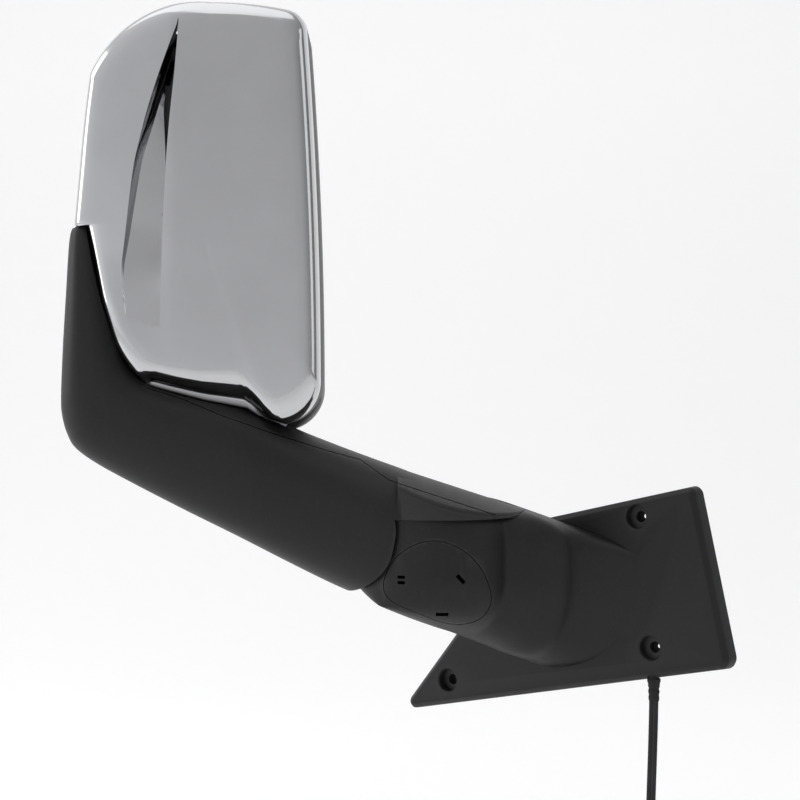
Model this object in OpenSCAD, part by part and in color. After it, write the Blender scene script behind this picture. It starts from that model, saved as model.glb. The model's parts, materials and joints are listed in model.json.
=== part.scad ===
// Door mirror for a heavy truck, right-hand side: plate with a pivot horn,
// folding arm, chrome-covered head, a flat upper glass and a convex lower glass.
// Origin: centre of the plate on the door face. -Y points away from the door,
// +X to the front of the truck, +Z up. The arm and head are drawn in the arm's
// own frame: X towards the door along the arm, Y to the rear, Z up.

/* [Fold axis] */
// Turn of the arm's own frame from the door
arm_turn = 40; // [36:1:44]
// Distance of the fold axis out from the door
fold_out = 125; // [122:1:130]
// Distance of the fold axis behind the plate's centre
fold_back = 122; // [119:1:125]
// Height of the joint between the fixed barrel and the arm
seam_z = 118; // [116:1:120]

/* [Base plate] */
// Thickness of the foam gasket
gasket_t = 3; // [2:0.5:4]
// Thickness of the cast plate behind the cover
bracket_t = 8; // [6:0.5:9]
// Distance of the cover's front face from the door
plate_t = 22; // [20:0.5:26]
// Wall of the moulded covers
wall = 3.4; // [2.8:0.1:4]
// Radius of the door bolt holes
bolt_r = 6.5; // [5:0.25:7]
// Radius of the recess round each door bolt
recess_r = 13.5; // [12:0.5:15]

/* [Pivot] */
// Radius of the fixed barrel
barrel_r = 99.5; // [96:0.5:101]
// Gap between the barrel and the arm
knuckle_gap = 4.5; // [3:0.5:6]
// Outer radius of the pivot tube
tube_r = 22; // [20:0.5:24]
// Bore radius of the pivot tube
tube_bore_r = 15; // [12:0.5:17]
// Wall of the pivot bushes
bush_t = 3; // [2:0.5:4]
// Radial running clearance of the bushes on the tube
running = 0.05; // [0.02:0.01:0.09]
// Radius of the arm's hub
hub_r = 40; // [37:1:42]

/* [Head] */
// Depth of the head's front face ahead of the arm's centre plane
head_front = 72; // [66:1:76]
// Depth of the joint between the chrome cover and the rear housing
head_joint = 12; // [8:1:16]
// Depth of the head's rear rim
head_rear = 62; // [58:1:66]
// Depth of the air channel's floor
channel_floor = -46; // [-52:1:-42]

/* [Glasses] */
// Thickness of the glass
glass_t = 3; // [2:0.5:4]
// Thickness of the heater pad
pad_t = 0.8; // [0.5:0.1:1.2]
// Thickness of the glass holder's plate
holder_t = 4; // [3:0.5:5]
// Radius of the convex glass's face
convex_r = 900; // [700:50:1400]
// Distance of each jack screw from the glass's centre
jack_arm = 38; // [36:0.5:40]
// Radius of the jack screws
jack_r = 2.5; // [2:0.25:3]
// Radius of the pivot pins
pin_r = 3; // [2.5:0.25:3.5]

/* [Lead] */
// Width of the twin door lead
lead_w = 11.2; // [8:0.2:12]

/* [Hidden] */

// Extra thickness of the arm's crown under the head, in walls
crown_extra = 1.2;
fine = 48;
small = 24;
part_gap = 0.4;

// Plate corners (along the door, height), clockwise seen from outside
plate_corners = [[-266, -139], [-56, 110], [154, 157], [200, -40]];
plate_radii = [9, 12, 9, 12];
bolt_places = [[100, -26], [-187, -92], [82, 119]];

// Lower and upper edge of the arm at each station, and half the depth there
arm_stations = [
    [[-28, 0], [-14, 161], 93],
    [[-83, 25], [-40, 171], 91],
    [[-122, 42], [-76, 184], 84],
    [[-171, 66], [-116, 199], 77],
    [[-226, 94], [-165, 219], 72],
    [[-289, 125], [-220, 247], 67],
    [[-351, 157], [-285, 263], 64],
    [[-389, 178], [-325, 277], 62],
    [[-411, 194], [-341, 291], 61],
    [[-420, 208], [-348, 304], 60],
    [[-426, 227], [-352, 318], 59],
    [[-428, 249], [-356, 331], 58],
    [[-426, 304], [-362, 352], 57],
    [[-422, 370], [-372, 386], 55],
    [[-418, 430], [-380, 428], 51],
    [[-413, 447], [-389, 448], 44],
    [[-407, 455], [-398, 455], 30]];

// The head's edge where it meets the arm, from the boom's top to the peak
cradle_edge = [[-201, 232], [-213, 240], [-261, 249], [-310, 262],
    [-326, 268], [-343, 284], [-358, 308], [-369, 339], [-377, 364],
    [-386, 403], [-390, 424], [-394, 444], [-398, 452], [-407, 444]];

// Lower edge of the strip on top of the arm
strip_edge = [[-326, 264], [-285, 251], [-238, 232], [-187, 214],
    [-122, 193], [-86, 183], [-53, 161], [64, seam_z + 5]];

// Corners of the air channel, from its upper tip down the inboard side
channel_edge = [[-286, 673], [-289, 626], [-292, 591], [-296, 546],
    [-300, 500], [-304, 433], [-307, 385], [-307, 300], [-338, 296],
    [-345, 339], [-353, 402], [-353, 433], [-343, 500], [-327, 567],
    [-305, 632]];

// Depth and shrink of the head's outline, from the front face to the joint
front_profile = [[0, 0.12], [2.5, 0.075], [6, 0.042], [12, 0.017],
    [20, 0.006], [30, 0]];

// Corners of the glasses
main_corners = [[-371, 398], [-386, 500], [-379, 612], [-330, 667],
    [-255, 685], [-162, 678], [-146, 398]];
main_radii = [12, 60, 26, 60, 80, 20, 12];
main_centre = [-268, 540];
convex_corners = [[-364, 377], [-350, 318], [-320, 283], [-262, 266],
    [-192, 247], [-150, 262], [-144, 377]];
convex_radii = [10, 40, 30, 60, 40, 22, 10];
convex_centre = [-250, 322];

// Route of the lead inside the base, from the grommet to the pivot tube
base_route = [[100, -13.4, -53], [97, -14.4, -49.5], [90, -14.8, -48],
    [70, -14.8, -48], [45, -14.8, -48], [20, -15, -46.5], [2, -17, -43],
    [-10, -26, -36], [-22, -45, -29], [-42, -72, -26], [-62, -95, -20],
    [-84, -108, -8], [-104, -118, 2], [-118, -123, 9], [-122, -125, 20],
    [-122, -125, 60], [-122, -125, 138]];
// Route inside the arm, in the arm's frame, from the tube to the head
arm_route = [[0, 0, 140], [-2, 0, 147], [-12, 0, 152], [-40, 0, 158],
    [-100, 0, 172], [-145, 6, 185], [-188, 8, 204], [-204, 8, 222],
    [-206, 7, 245], [-206, 6, 285], [-200, 5, 304], [-191, -3, 315],
    [-186, -12, 320]];
// Route of the lead outside: straight down the door side of the coil
door_route = [[100, -13, -53], [100, -13, -70], [99.8, -13.2, -95],
    [99.2, -13.6, -125], [98.4, -14.2, -158], [97.4, -14.7, -192],
    [96.5, -15, -228], [96, -15, -271]];
// Coil of the spare lead, turning about an axis along X, and the plug below it
coil_centre = [108, -77, -290];
coil_mean_r = 62;
coil_t = 7;
coil_width = 36;
tie_t = 2;
tie_w = 6;
plug_size = [24, 16, 38];
plug_top = [120, -15, -326.6];

// Edges of the horn along the door at each distance out from it
horn_left_edge = [[70, -168], [120, -fold_back - barrel_r]];
horn_right_edge = [[18, 98], [24, 80], [32, 60], [42, 41.5], [56, 25], [72, 20],
    [90, 0], [fold_out, -fold_back + barrel_r]];
horn_stations = [18, 24, 32, 42, 56, 72, 90, 108, fold_out, 145, 165, 185, 202, 214, 221, 224];
horn_mid = 56;
horn_floor = -60;

// Heights along the fold axis
socket_z = 18;
socket_top = 52;
washer_t = 3.7;
hub_z = 56;
core_z = seam_z + part_gap + wall;
core_t = 15;
shoulder_z = 112;
nut_z = 136;
tube_top = 144;
spring_r = 31.5;
shaft_gap = 0.3;
hub_open_r = 62;

// Arm core: ends of its bars, and the posts that carry the head
knee = [-335, 212];
shin = [-392, 262];
tip = [-404, 400];
root = [-112, core_z + core_t / 2];
posts = [-184, -316];
post_tops = [292, 326];
post_size = [26, 30, 140];
post_bolt_drops = [16, 36];

// Middle and half width of the access cap
cap_centre = [-2, 50];
cap_reach = 52;

// Screws of the covers
cover_screw_places = [[130, 60], [-120, -62], [20, -40], [0, 90]];
arm_screw_places = [[-150, 146], [-300, 199], [-399, 330]];
arm_screw_ends = [75.4, 63.6, 54];
frame_boss_places = [[-344, 600], [-186, 640], [-344, 390], [-178, 390]];
strap_y = -23;
strap_t = 3;
strap_half = 8;

// Head frame
frame_y = -28;
frame_t = 6;
frame_corners = [[-346, 322], [-352, 350], [-352, 610], [-300, 650], [-180, 650],
    [-168, 240], [-204, 246], [-262, 260], [-318, 276]];
frame_radii = [10, 20, 30, 40, 30, 8, 6, 6, 10];

// Glass actuators, drawn about the point where both of their axes cross
case_half = 50;
case_back = -22;
pivot_y = 12;
ring_in = 14;
ring_out = 20;
lug_in = 21;
lug_out = 28;
ball_r = 4;
cup_r = 5.2;
holder_y = 27;
glass_y = holder_y + holder_t + pad_t;
holder_rim = 3;

// ---- functions ----

function unit(v) = v / norm(v);
function wrap(a) = a > 180 ? a - 360 : a < -180 ? a + 360 : a;
function spow(c, n) = sign(c) * pow(abs(c), 2 / n);
function seg(v, w, t) = v + (w - v) * t;

// Points of the arc that rounds a corner p between its neighbours a and b
function corner(p, a, b, r, n) =
    let (u = unit(a - p),
         v = unit(b - p),
         half = acos(u * v) / 2,
         d = r / tan(half),
         c = p + unit(u + v) * r / sin(half),
         s = p + u * d - c,
         e = p + v * d - c,
         a0 = atan2(s.y, s.x),
         turn = wrap(atan2(e.y, e.x) - a0))
    [for (i = [0 : n]) c + r * [cos(a0 + turn * i / n), sin(a0 + turn * i / n)]];

function rounded(p, r, n = 5) =
    let (m = len(p))
    [for (i = [0 : m - 1]) each corner(p[i], p[(i + m - 1) % m], p[(i + 1) % m], r[i], n)];

// Corners moved inwards by d; the corners run clockwise
function inset(p, d) =
    let (m = len(p))
    [for (i = [0 : m - 1])
        let (a = unit(p[i] - p[(i + m - 1) % m]),
             b = unit(p[(i + 1) % m] - p[i]),
             na = [a.y, -a.x],
             k = unit(na + [b.y, -b.x]))
        p[i] + k * d / (k * na)];

// Arc through three points, without its last point
function arc3(a, b, c, n) =
    let (d = 2 * (a.x * (b.y - c.y) + b.x * (c.y - a.y) + c.x * (a.y - b.y)),
         ux = (a * a * (b.y - c.y) + b * b * (c.y - a.y) + c * c * (a.y - b.y)) / d,
         uy = (a * a * (c.x - b.x) + b * b * (a.x - c.x) + c * c * (b.x - a.x)) / d,
         o = [ux, uy],
         a0 = atan2(a.y - uy, a.x - ux),
         turn = wrap(atan2(c.y - uy, c.x - ux) - a0),
         r = norm(a - o))
    [for (i = [0 : n - 1]) o + r * [cos(a0 + turn * i / n), sin(a0 + turn * i / n)]];

// The head's outline, clockwise seen from the front; low is the drop of its
// lower inboard corner
function head_outline(low = 0) = concat(
    arc3([-391, 619], [-336, 679], [-251, 697], 7),
    arc3([-251, 697], [-207, 695], [-168, 689], 3),
    arc3([-168, 689], [-151, 679], [-145, 662], 4),
    arc3([-145, 662], [-134, 468], [-130, 274], 5),
    arc3([-130, 274 - low], [-137, 245 - low], [-172, 222 - low], 6),
    [for (p = cradle_edge) p],
    [[-409, 449]],
    arc3([-402, 525], [-396, 582], [-391, 619], 2));

head_centre = [-265, 452];
function shrunk(p, k) = [for (q = p) head_centre + (q - head_centre) * (1 - k)];
function stand(p, y) = [for (q = p) [q.x, y, q.y]];

// One cross-section of the arm, thinned by t
function arm_ring(s, t, n = 24) =
    let (a = [s[0].x, 0, s[0].y],
         b = [s[1].x, 0, s[1].y],
         up = unit(b - a),
         mid = (a + b) / 2 - up * t * crown_extra / 2,
         h = norm(b - a) / 2 - t * (1 + crown_extra / 2),
         d = s[2] - t)
    [for (i = [0 : n - 1])
        let (c = spow(cos(360 * i / n), 2.7),
             e = spow(sin(360 * i / n), 2.7))
        mid + up * h * c + [0, d * e * (1 + 0.08 * c), 0]];

// Upper surface over the pivot, and the underside of the horn
function ear_top(x, y) = 157.5 - 0.325 * x - 0.0022 * y * y;
function horn_low(x) = -9.5 - 0.407 * x;
function ear_floor(t) = seam_z + part_gap + (t > 0 ? t : -2);
function ear_ring(x, r, t) =
    let (e = sqrt(max(r * r - x * x, 4)) - t)
    concat(
        [[x, -e, ear_floor(t)], [x, e, ear_floor(t)]],
        [for (i = [0 : 8])
            let (y = e * cos(i * 22.5),
                 z = ear_top(x, y) - t - (abs(i - 4) > 3.5 ? 3 : 0))
            [x, y, max(z, ear_floor(t) + 1)]]);

// One cross-section of the barrel and horn at distance out from the door
function horn_ring(out, t, n = 28) =
    let (past = max(0, out - fold_out),
         half = sqrt(max(barrel_r * barrel_r - past * past, 9)),
         lo = past > 0 ? -fold_back - half : lookup(out, horn_left_edge),
         hi = past > 0 ? -fold_back + half : lookup(out, horn_right_edge),
         c = (lo + hi) / 2,
         w = (hi - lo) / 2 - t)
    [for (i = [0 : n - 1])
        let (a = 360 * i / n,
             above = sin(a) > 0,
             square = above ? 5 : 2.1,
             x = c + w * spow(cos(a), square),
             ax = (x + fold_back) * cos(arm_turn) + (fold_out - out) * sin(arm_turn),
             ay = (fold_out - out) * cos(arm_turn) - (x + fold_back) * sin(arm_turn),
             top = min(136, ear_top(ax, 0) - 1) - t,
             low = max(horn_low(ax) + 0.001 * pow(min(ay, 0), 2), horn_floor) + t)
        [x, -out, horn_mid + (above ? top - horn_mid : horn_mid - low) * spow(sin(a), square)]];

// ---- shapes ----

// Solid skinned over closed rings that run anticlockwise about its direction
module loft(rings) {
    n = len(rings[0]);
    m = len(rings);
    faces = concat(
        [[for (i = [0 : n - 1]) i]],
        [for (j = [0 : m - 2]) for (i = [0 : n - 1])
            let (a = j * n + i, b = j * n + (i + 1) % n)
            each [[a, a + n, b], [b, a + n, b + n]]],
        [[for (i = [n - 1 : -1 : 0]) (m - 1) * n + i]]);
    polyhedron([for (r = rings) each r], faces);
}

// Places children drawn in the arm's frame
module in_arm() {
    translate([-fold_back, -fold_out, 0]) rotate([0, 0, arm_turn]) children();
}

// Skins of flat facets, joined in one step; their size stays as it is
module skin() {
    resize([0, 0, 0]) children();
}

// Flat outline (x, z) given thickness from y0 to y1
module slab(p, y0, y1) {
    translate([0, y1, 0]) rotate([90, 0, 0]) linear_extrude(y1 - y0) polygon(p);
}

// Cylinder along Y from y0 to y1
module rod_y(x, z, r, y0, y1, f = small) {
    translate([x, y1, z]) rotate([90, 0, 0]) cylinder(r = r, h = y1 - y0, $fn = f);
}

// Hexagon-headed screw along Y: the head stands at y0, the shank runs to y1
module screw_y(x, z, r, y0, y1) {
    dir = y1 > y0 ? 1 : -1;
    head = 0.7 * r * 2;
    rod_y(x, z, r, min(y0, y1), max(y0, y1));
    translate([x, y0, z]) rotate([dir * 90, 0, 0]) cylinder(r = 1.9 * r, h = head, $fn = 6);
}

module head_prism(grow, y0, y1) {
    edge = [for (p = cradle_edge) p + [-grow, -grow] * 0.7];
    slab(concat([[-100, 222 - grow], [-172, 222 - grow]], edge,
        [[-430, 444], [-430, 720], [-100, 720]]), y0, y1);
}

module arm_outer() {
    loft([for (s = arm_stations) arm_ring(s, 0)]);
    loft([for (x = [-44 : 14 : 96]) ear_ring(x, barrel_r + 1.5, 0)]);
}

module arm_inner() {
    loft([for (s = arm_stations) arm_ring(s, wall)]);
    loft([for (x = [-39.3 : 13.1 : 79]) ear_ring(x, barrel_r + 1.5, wall)]);
}

// Hollow skin of the arm, open towards the barrel and the head
module arm_skin() {
    difference() {
        arm_outer();
        arm_inner();
        translate([0, 0, -100])
            cylinder(r = barrel_r + knuckle_gap, h = 100 + seam_z + part_gap, $fn = fine * 2);
        cylinder(r = hub_open_r, h = seam_z + part_gap + 2 * wall, $fn = fine);
        head_prism(part_gap, -100, 100);
        head_openings();
    }
}

module strip_region() {
    slab(concat(strip_edge, [[64, seam_z - 5], [110, seam_z - 5], [110, 320], [-326, 320]]), -110, 110);
}

module base_outer() {
    loft([for (d = horn_stations) horn_ring(d, 0)]);
}

// Hollow of the horn, closed at the back except where the plate covers it
module base_inner() {
    loft([for (d = horn_stations) if (d > plate_t && d < fold_out + barrel_r - wall) horn_ring(d, wall)]);
    intersection() {
        loft([horn_ring(10, wall), horn_ring(32, wall)]);
        slab(rounded(inset(plate_corners, wall + 1), plate_radii), -plate_t - 9, 0);
    }
}

module plate_loft(t, y_back, y_front) {
    edge = plate_t - 5;
    loft([for (q = [[y_front, 7 + t], [y_front + 5, 1.5 + t], [y_back, t]])
        stand(rounded(inset(plate_corners, q[1]), [for (r = plate_radii) max(2, r - q[1])], 4), q[0])]);
}

// Prism of the access cap's outline, drawn in by about g
module cap_outline(g) {
    edge = concat(
        arc3([-61, 42], [-40, 83], [-2, 97], 6),
        arc3([-2, 97], [35, 80], [57, 44], 6),
        arc3([57, 44], [58, 18], [42, 3], 5),
        arc3([42, 3], [24, 0], [1, 5], 3),
        [[1, 5]],
        arc3([-45, 25], [-56, 32], [-61, 42], 3));
    slab([for (p = edge) cap_centre + (p - cap_centre) * (1 - g / cap_reach)], -130, 0);
}

module ring_z(r_in, r_out, z0, z1) {
    translate([0, 0, z0]) difference() {
        cylinder(r = r_out, h = z1 - z0, $fn = fine);
        translate([0, 0, -1]) cylinder(r = r_in, h = z1 - z0 + 2, $fn = fine);
    }
}

// Bar of the arm's core between two points of the arm's plane
module bar(p, q, h, depth) {
    long = norm(q - p);
    translate([p.x, 0, p.y]) rotate([0, -atan2(q.y - p.y, q.x - p.x), 0])
        translate([0, -depth / 2, -h / 2]) cube([long, depth, h]);
}

module sweep(route, w, t, n = 8) {
    m = len(route);
    loft([for (i = [0 : m - 1])
        let (d = unit(route[min(i + 1, m - 1)] - route[max(i - 1, 0)]),
             side = unit(cross(d, abs(d.z) > 0.9 ? [0, 1, 0] : [0, 0, 1])),
             up = cross(side, d))
        [for (k = [0 : n - 1])
            route[i] + side * w / 2 * cos(360 * (k + 0.5) / n) - up * t / 2 * sin(360 * (k + 0.5) / n)]]);
}

// ---- base ----

module base_cover() {
    color("#26272a") skin() difference() {
        union() {
            base_outer();
            plate_loft(0, -gasket_t, -plate_t);
            for (p = bolt_places) rod_y(p.x, p.y, recess_r + 2.5, -plate_t + 3, -gasket_t - bracket_t);
        }
        difference() {
            union() {
                base_inner();
                plate_loft(wall, -gasket_t + 1, -plate_t + wall);
            }
            for (p = bolt_places) rod_y(p.x, p.y, recess_r + 2.5, -plate_t, -gasket_t - bracket_t);
        }
        for (p = bolt_places) rod_y(p.x, p.y, recess_r, -plate_t - 20, 0, fine);
        translate([-fold_back, -fold_out, seam_z]) cylinder(r = barrel_r + 2.3, h = 60, $fn = fine * 2);
        translate([-fold_back, -fold_out, 60]) cylinder(r = hub_open_r, h = 100, $fn = fine);
        translate([-260, -gasket_t, -150]) cube([520, 40, 340]);
        in_arm() cap_outline(0);
        translate([100, -13, -80]) cylinder(r = 7, h = 36, $fn = small);
    }
}

module base_bracket() {
    color("#2b2c2e") difference() {
        union() {
            slab(rounded(inset(plate_corners, wall + 1.5), plate_radii), -gasket_t - bracket_t, -gasket_t);
            difference() {
                in_arm() {
                    translate([0, 0, socket_z]) cylinder(r = hub_r, h = socket_top - socket_z, $fn = fine);
                    translate([0, -28, socket_z]) cube([190, 56, 28]);
                    translate([70, -12, -20]) cube([120, 32, 40]);
                }
                translate([-300, -gasket_t - 1, -100]) cube([600, 80, 300]);
            }
        }
        translate([-fold_back, -fold_out, socket_z - 1]) cylinder(r = tube_r, h = 60, $fn = fine);
        for (p = bolt_places) rod_y(p.x, p.y, bolt_r, -plate_t, 1, fine);
        for (p = cover_screw_places) rod_y(p.x, p.y, 2.5, -plate_t, 1);
        translate([90, -20, -75]) cube([20, 20, 33]);
    }
}

module door_gasket() {
    color("#1b1b1c") difference() {
        slab(rounded(inset(plate_corners, 1), plate_radii), -gasket_t, 0);
        for (p = bolt_places) rod_y(p.x, p.y, bolt_r + 0.5, -20, 1, fine);
        for (p = cover_screw_places) rod_y(p.x, p.y, 6, -20, 1);
    }
}

module base_cover_screws() {
    color("#b9bcc0") for (p = cover_screw_places) {
        rod_y(p.x, p.y, 2.5, -plate_t + wall, -gasket_t);
        rod_y(p.x, p.y, 4.5, -gasket_t, -0.3);
    }
}

module access_cap() {
    color("#2d2e31") skin() difference() {
        intersection() {
            base_outer();
            in_arm() cap_outline(part_gap);
        }
        base_inner();
        in_arm() {
            translate([-44, -130, 48]) cube([8, 60, 3.5]);
            translate([-44, -130, 54]) cube([8, 60, 3.5]);
            translate([25, -130, 54]) rotate([0, -42, 0]) translate([-2.2, 0, -6]) cube([4.4, 60, 12]);
            translate([-2, -130, 12]) cube([14, 60, 4]);
        }
    }
}

module pivot_tube() {
    color("#a7abb0") in_arm() ring_z(tube_bore_r, tube_r, socket_z, tube_top);
}

module friction_washer() {
    color("#c8b27a") in_arm() ring_z(tube_r + shaft_gap, hub_r, socket_top, socket_top + washer_t);
}

module spring_washer() {
    color("#b4b7ba") in_arm() ring_z(tube_r + shaft_gap, spring_r, shoulder_z + 0.3, shoulder_z + 3.3);
}

// Six cone springs stacked in pairs, each pair mirrored
module disc_springs() {
    pitch = (nut_z - shoulder_z - 3.3) / 6;
    color("#6f7377") in_arm() for (i = [0 : 5])
        translate([0, 0, shoulder_z + 3.3 + (i + (i % 2)) * pitch])
            mirror([0, 0, i % 2])
                rotate_extrude($fn = fine)
                    polygon([[tube_r + shaft_gap, 0], [spring_r, pitch - 2],
                        [spring_r, pitch], [tube_r + shaft_gap, 2]]);
}

module pivot_nut() {
    color("#9a9ea3") in_arm() translate([0, 0, nut_z]) difference() {
        cylinder(r = 29, h = 7, $fn = 6);
        translate([0, 0, -1]) cylinder(r = tube_r, h = 20, $fn = fine);
    }
}

// ---- arm ----

module head_posts(g) {
    for (i = [0, 1])
        translate([posts[i] - post_size.x / 2 - g, frame_y - g, post_tops[i] - post_size.z])
            cube([post_size.x + 2 * g, post_size.y + 2 * g, post_size.z]);
}

// What passes from the arm into the head: the posts and the lead
module head_openings() {
    head_posts(1);
    translate([-206, 7, 200]) cylinder(r = 4.5, h = 66, $fn = small);
}

module arm_core() {
    color("#9da1a6") in_arm() difference() {
        union() {
            translate([0, 0, hub_z]) cylinder(r = hub_r, h = core_z + core_t - hub_z, $fn = fine);
            translate([0, 0, core_z]) cylinder(r = 47, h = core_t, $fn = fine);
            translate([-130, -30, core_z]) cube([130, 60, core_t]);
            bar(root, knee, 30, 56);
            rod_y(root.x, root.y + 3, 18, -26, 26, fine);
            rod_y(knee.x, knee.y, 17, -26, 26, fine);
            bar(knee, shin, 26, 50);
            rod_y(shin.x, shin.y, 15, -23, 23, fine);
            bar(shin, tip, 14, 44);
            head_posts(0);
        }
        translate([0, 0, 0]) cylinder(r = tube_r + running + bush_t, h = 130, $fn = fine);
        translate([0, 0, shoulder_z]) cylinder(r = spring_r + 1.5, h = 60, $fn = fine);
        for (i = [0, 1]) for (h = post_bolt_drops)
            rod_y(posts[i], post_tops[i] - h, 3, -40, 20);
        for (p = arm_screw_places) rod_y(p.x, p.y, 2, 0, 60);
    }
}

module pivot_bushes() {
    color("#c9b27c") in_arm() {
        ring_z(tube_r + running, tube_r + running + bush_t, hub_z, hub_z + 20);
        ring_z(tube_r + running, tube_r + running + bush_t, shoulder_z - 20, shoulder_z);
    }
}

module arm_front_cover() {
    color("#2a2b2e") in_arm() skin() difference() {
        arm_skin();
        strip_region();
        translate([-500, 0, -100]) cube([700, 200, 700]);
    }
}

module arm_rear_cover() {
    color("#2a2b2e") in_arm() skin() difference() {
        arm_skin();
        strip_region();
        translate([-500, -200, -100]) cube([700, 200, 700]);
        for (p = arm_screw_places) rod_y(p.x, p.y, 3, 0, 100);
    }
}

module arm_top_cover() {
    color("#232427") in_arm() skin() intersection() {
        arm_skin();
        strip_region();
    }
}

module arm_cover_screws() {
    color("#8f9296") in_arm() for (i = [0 : len(arm_screw_places) - 1]) {
        p = arm_screw_places[i];
        rod_y(p.x, p.y, 2, 8, arm_screw_ends[i]);
        rod_y(p.x, p.y, 4.6, arm_screw_ends[i], arm_screw_ends[i] + 2.5);
    }
}

// ---- head ----

module head_solid(k) {
    loft(concat(
        [for (q = front_profile)
            stand(shrunk(head_outline(), q[1] + k), -head_front + q[0] + (k > 0 ? wall : 0))],
        [stand(shrunk(head_outline(), k), head_joint + (k > 0 ? 1 : 0))]));
}

module chrome_cover() {
    color("#c9cccf") in_arm() skin() difference() {
        intersection() {
            union() {
                difference() {
                    head_solid(0);
                    head_solid(0.018);
                }
                slab(inset(channel_edge, -wall), -100, channel_floor + wall);
            }
            head_solid(0);
        }
        slab(channel_edge, -100, channel_floor);
        head_openings();
    }
}

// Space inside the head's outline, shrunk by k
module head_space(k, y0, y1) {
    loft([stand(shrunk(head_outline(), k), y0), stand(shrunk(head_outline(), k), y1)]);
}

// Straps of the rear housing that reach forward to the frame's bosses
module housing_straps() {
    for (p = frame_boss_places) {
        inboard = p.x > head_centre.x;
        intersection() {
            translate([inboard ? p.x : p.x - 80, strap_y, p.y - strap_half])
                cube([80, head_joint + 8 - strap_y, 2 * strap_half]);
            union() {
                head_space(0.022, strap_y, strap_y + strap_t);
                difference() {
                    head_space(0.02, strap_y, head_joint + 6);
                    head_space(0.036, strap_y - 1, head_joint + 7);
                }
            }
        }
        rod_y(p.x, p.y, strap_half, strap_y, strap_y + strap_t);
    }
}

module rear_housing() {
    color("#55575b") in_arm() skin() difference() {
        union() {
            difference() {
                loft([stand(head_outline(0), head_joint), stand(head_outline(7), head_joint + 14),
                    stand(head_outline(8), head_rear - 6), stand(shrunk(head_outline(8), 0.008), head_rear)]);
                difference() {
                    loft([for (y = [head_joint - 1, head_joint + 14, head_rear - 6, head_rear + 1])
                        stand(shrunk(head_outline(y < head_joint ? 0 : 7), 0.022), y)]);
                    slab([[-400, 392], [-400, 385], [-100, 385], [-100, 392]], 0, head_rear - 4);
                }
            }
            housing_straps();
        }
        for (p = frame_boss_places) rod_y(p.x, p.y, 2, strap_y - 1, head_joint);
        head_openings();
    }
}

module head_frame() {
    color("#3b3d41") in_arm() difference() {
        union() {
            slab(rounded(frame_corners, frame_radii), frame_y - frame_t, frame_y);
            for (p = frame_boss_places) rod_y(p.x, p.y, 6, frame_y, strap_y);
        }
        for (i = [0, 1]) for (h = post_bolt_drops)
            rod_y(posts[i], post_tops[i] - h, 3.2, -50, 0);
        slab(rounded([[-338, 402], [-338, 470], [-198, 470], [-198, 402]], [8, 8, 8, 8]), -50, 0);
        slab(rounded([[-325, 605], [-298, 636], [-196, 636], [-196, 605]], [6, 12, 12, 8]), -50, 0);
        for (p = frame_boss_places) rod_y(p.x, p.y, 1.8, frame_y - frame_t - 1, 0);
    }
}

module head_frame_bolts() {
    color("#b9bcc0") in_arm() for (i = [0, 1]) for (h = post_bolt_drops)
        screw_y(posts[i], post_tops[i] - h, 3, frame_y - frame_t, 4);
}

module housing_screws() {
    color("#b9bcc0") in_arm() for (p = frame_boss_places) {
        rod_y(p.x, p.y, 1.8, frame_y - frame_t, strap_y + strap_t + 1);
        rod_y(p.x, p.y, 4.4, strap_y + strap_t, strap_y + strap_t + 2.4);
    }
}

// ---- glass actuators ----

module at_centre(c) {
    in_arm() translate([c.x, 0, c.y]) children();
}

// Case with two pivot lugs and two guide bores for the jack screws
module actuator_case(c) {
    color("#1f2022") at_centre(c) difference() {
        union() {
            translate([-case_half, case_back, -case_half]) cube([2 * case_half, -case_back, 2 * case_half]);
            for (s = [-1, 1]) translate([-6, -1, s > 0 ? lug_in : -lug_out])
                cube([12, pivot_y + pin_r + 3 + 1, lug_out - lug_in]);
        }
        translate([0, pivot_y, -lug_out - 1]) cylinder(r = pin_r + running, h = 2 * lug_out + 2, $fn = small);
        rod_y(jack_arm, 0, jack_r + running, -21, 1);
        rod_y(0, jack_arm, jack_r + running, -21, 1);
        for (s = [-1, 1]) rod_y(-24, 20 * s, 9, -23, -4);
    }
}

module actuator_lid(c) {
    color("#1f2022") at_centre(c) difference() {
        translate([-case_half, frame_y, -case_half]) cube([2 * case_half, case_back - frame_y, 2 * case_half]);
        for (s = [-1, 1]) rod_y(-24, 20 * s, 4, -40, 0);
    }
}

module motors(c) {
    color("#8b8e92") at_centre(c) for (s = [-1, 1]) {
        rod_y(-24, 20 * s, 9, case_back, -6);
        rod_y(-24, 20 * s, 1.5, -6, -4);
    }
}

// Jack screw with a ball end in the pivot plane
module jack(x, z) {
    rod_y(x, z, jack_r, -14, pivot_y);
    translate([x, pivot_y, z]) sphere(r = ball_r, $fn = small);
}

module pivot_ring(c) {
    color("#2c2d30") at_centre(c) difference() {
        union() {
            rod_y(0, 0, ring_out, pivot_y - 4, pivot_y + 4, fine);
            for (s = [-1, 1]) translate([0, pivot_y, s > 0 ? ring_out - 1 : -lug_out])
                cylinder(r = pin_r, h = lug_out - ring_out + 1, $fn = small);
        }
        rod_y(0, 0, ring_in, 0, 40, fine);
        translate([-40, pivot_y, 0]) rotate([0, 90, 0]) cylinder(r = pin_r + running, h = 80, $fn = small);
    }
}

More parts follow.
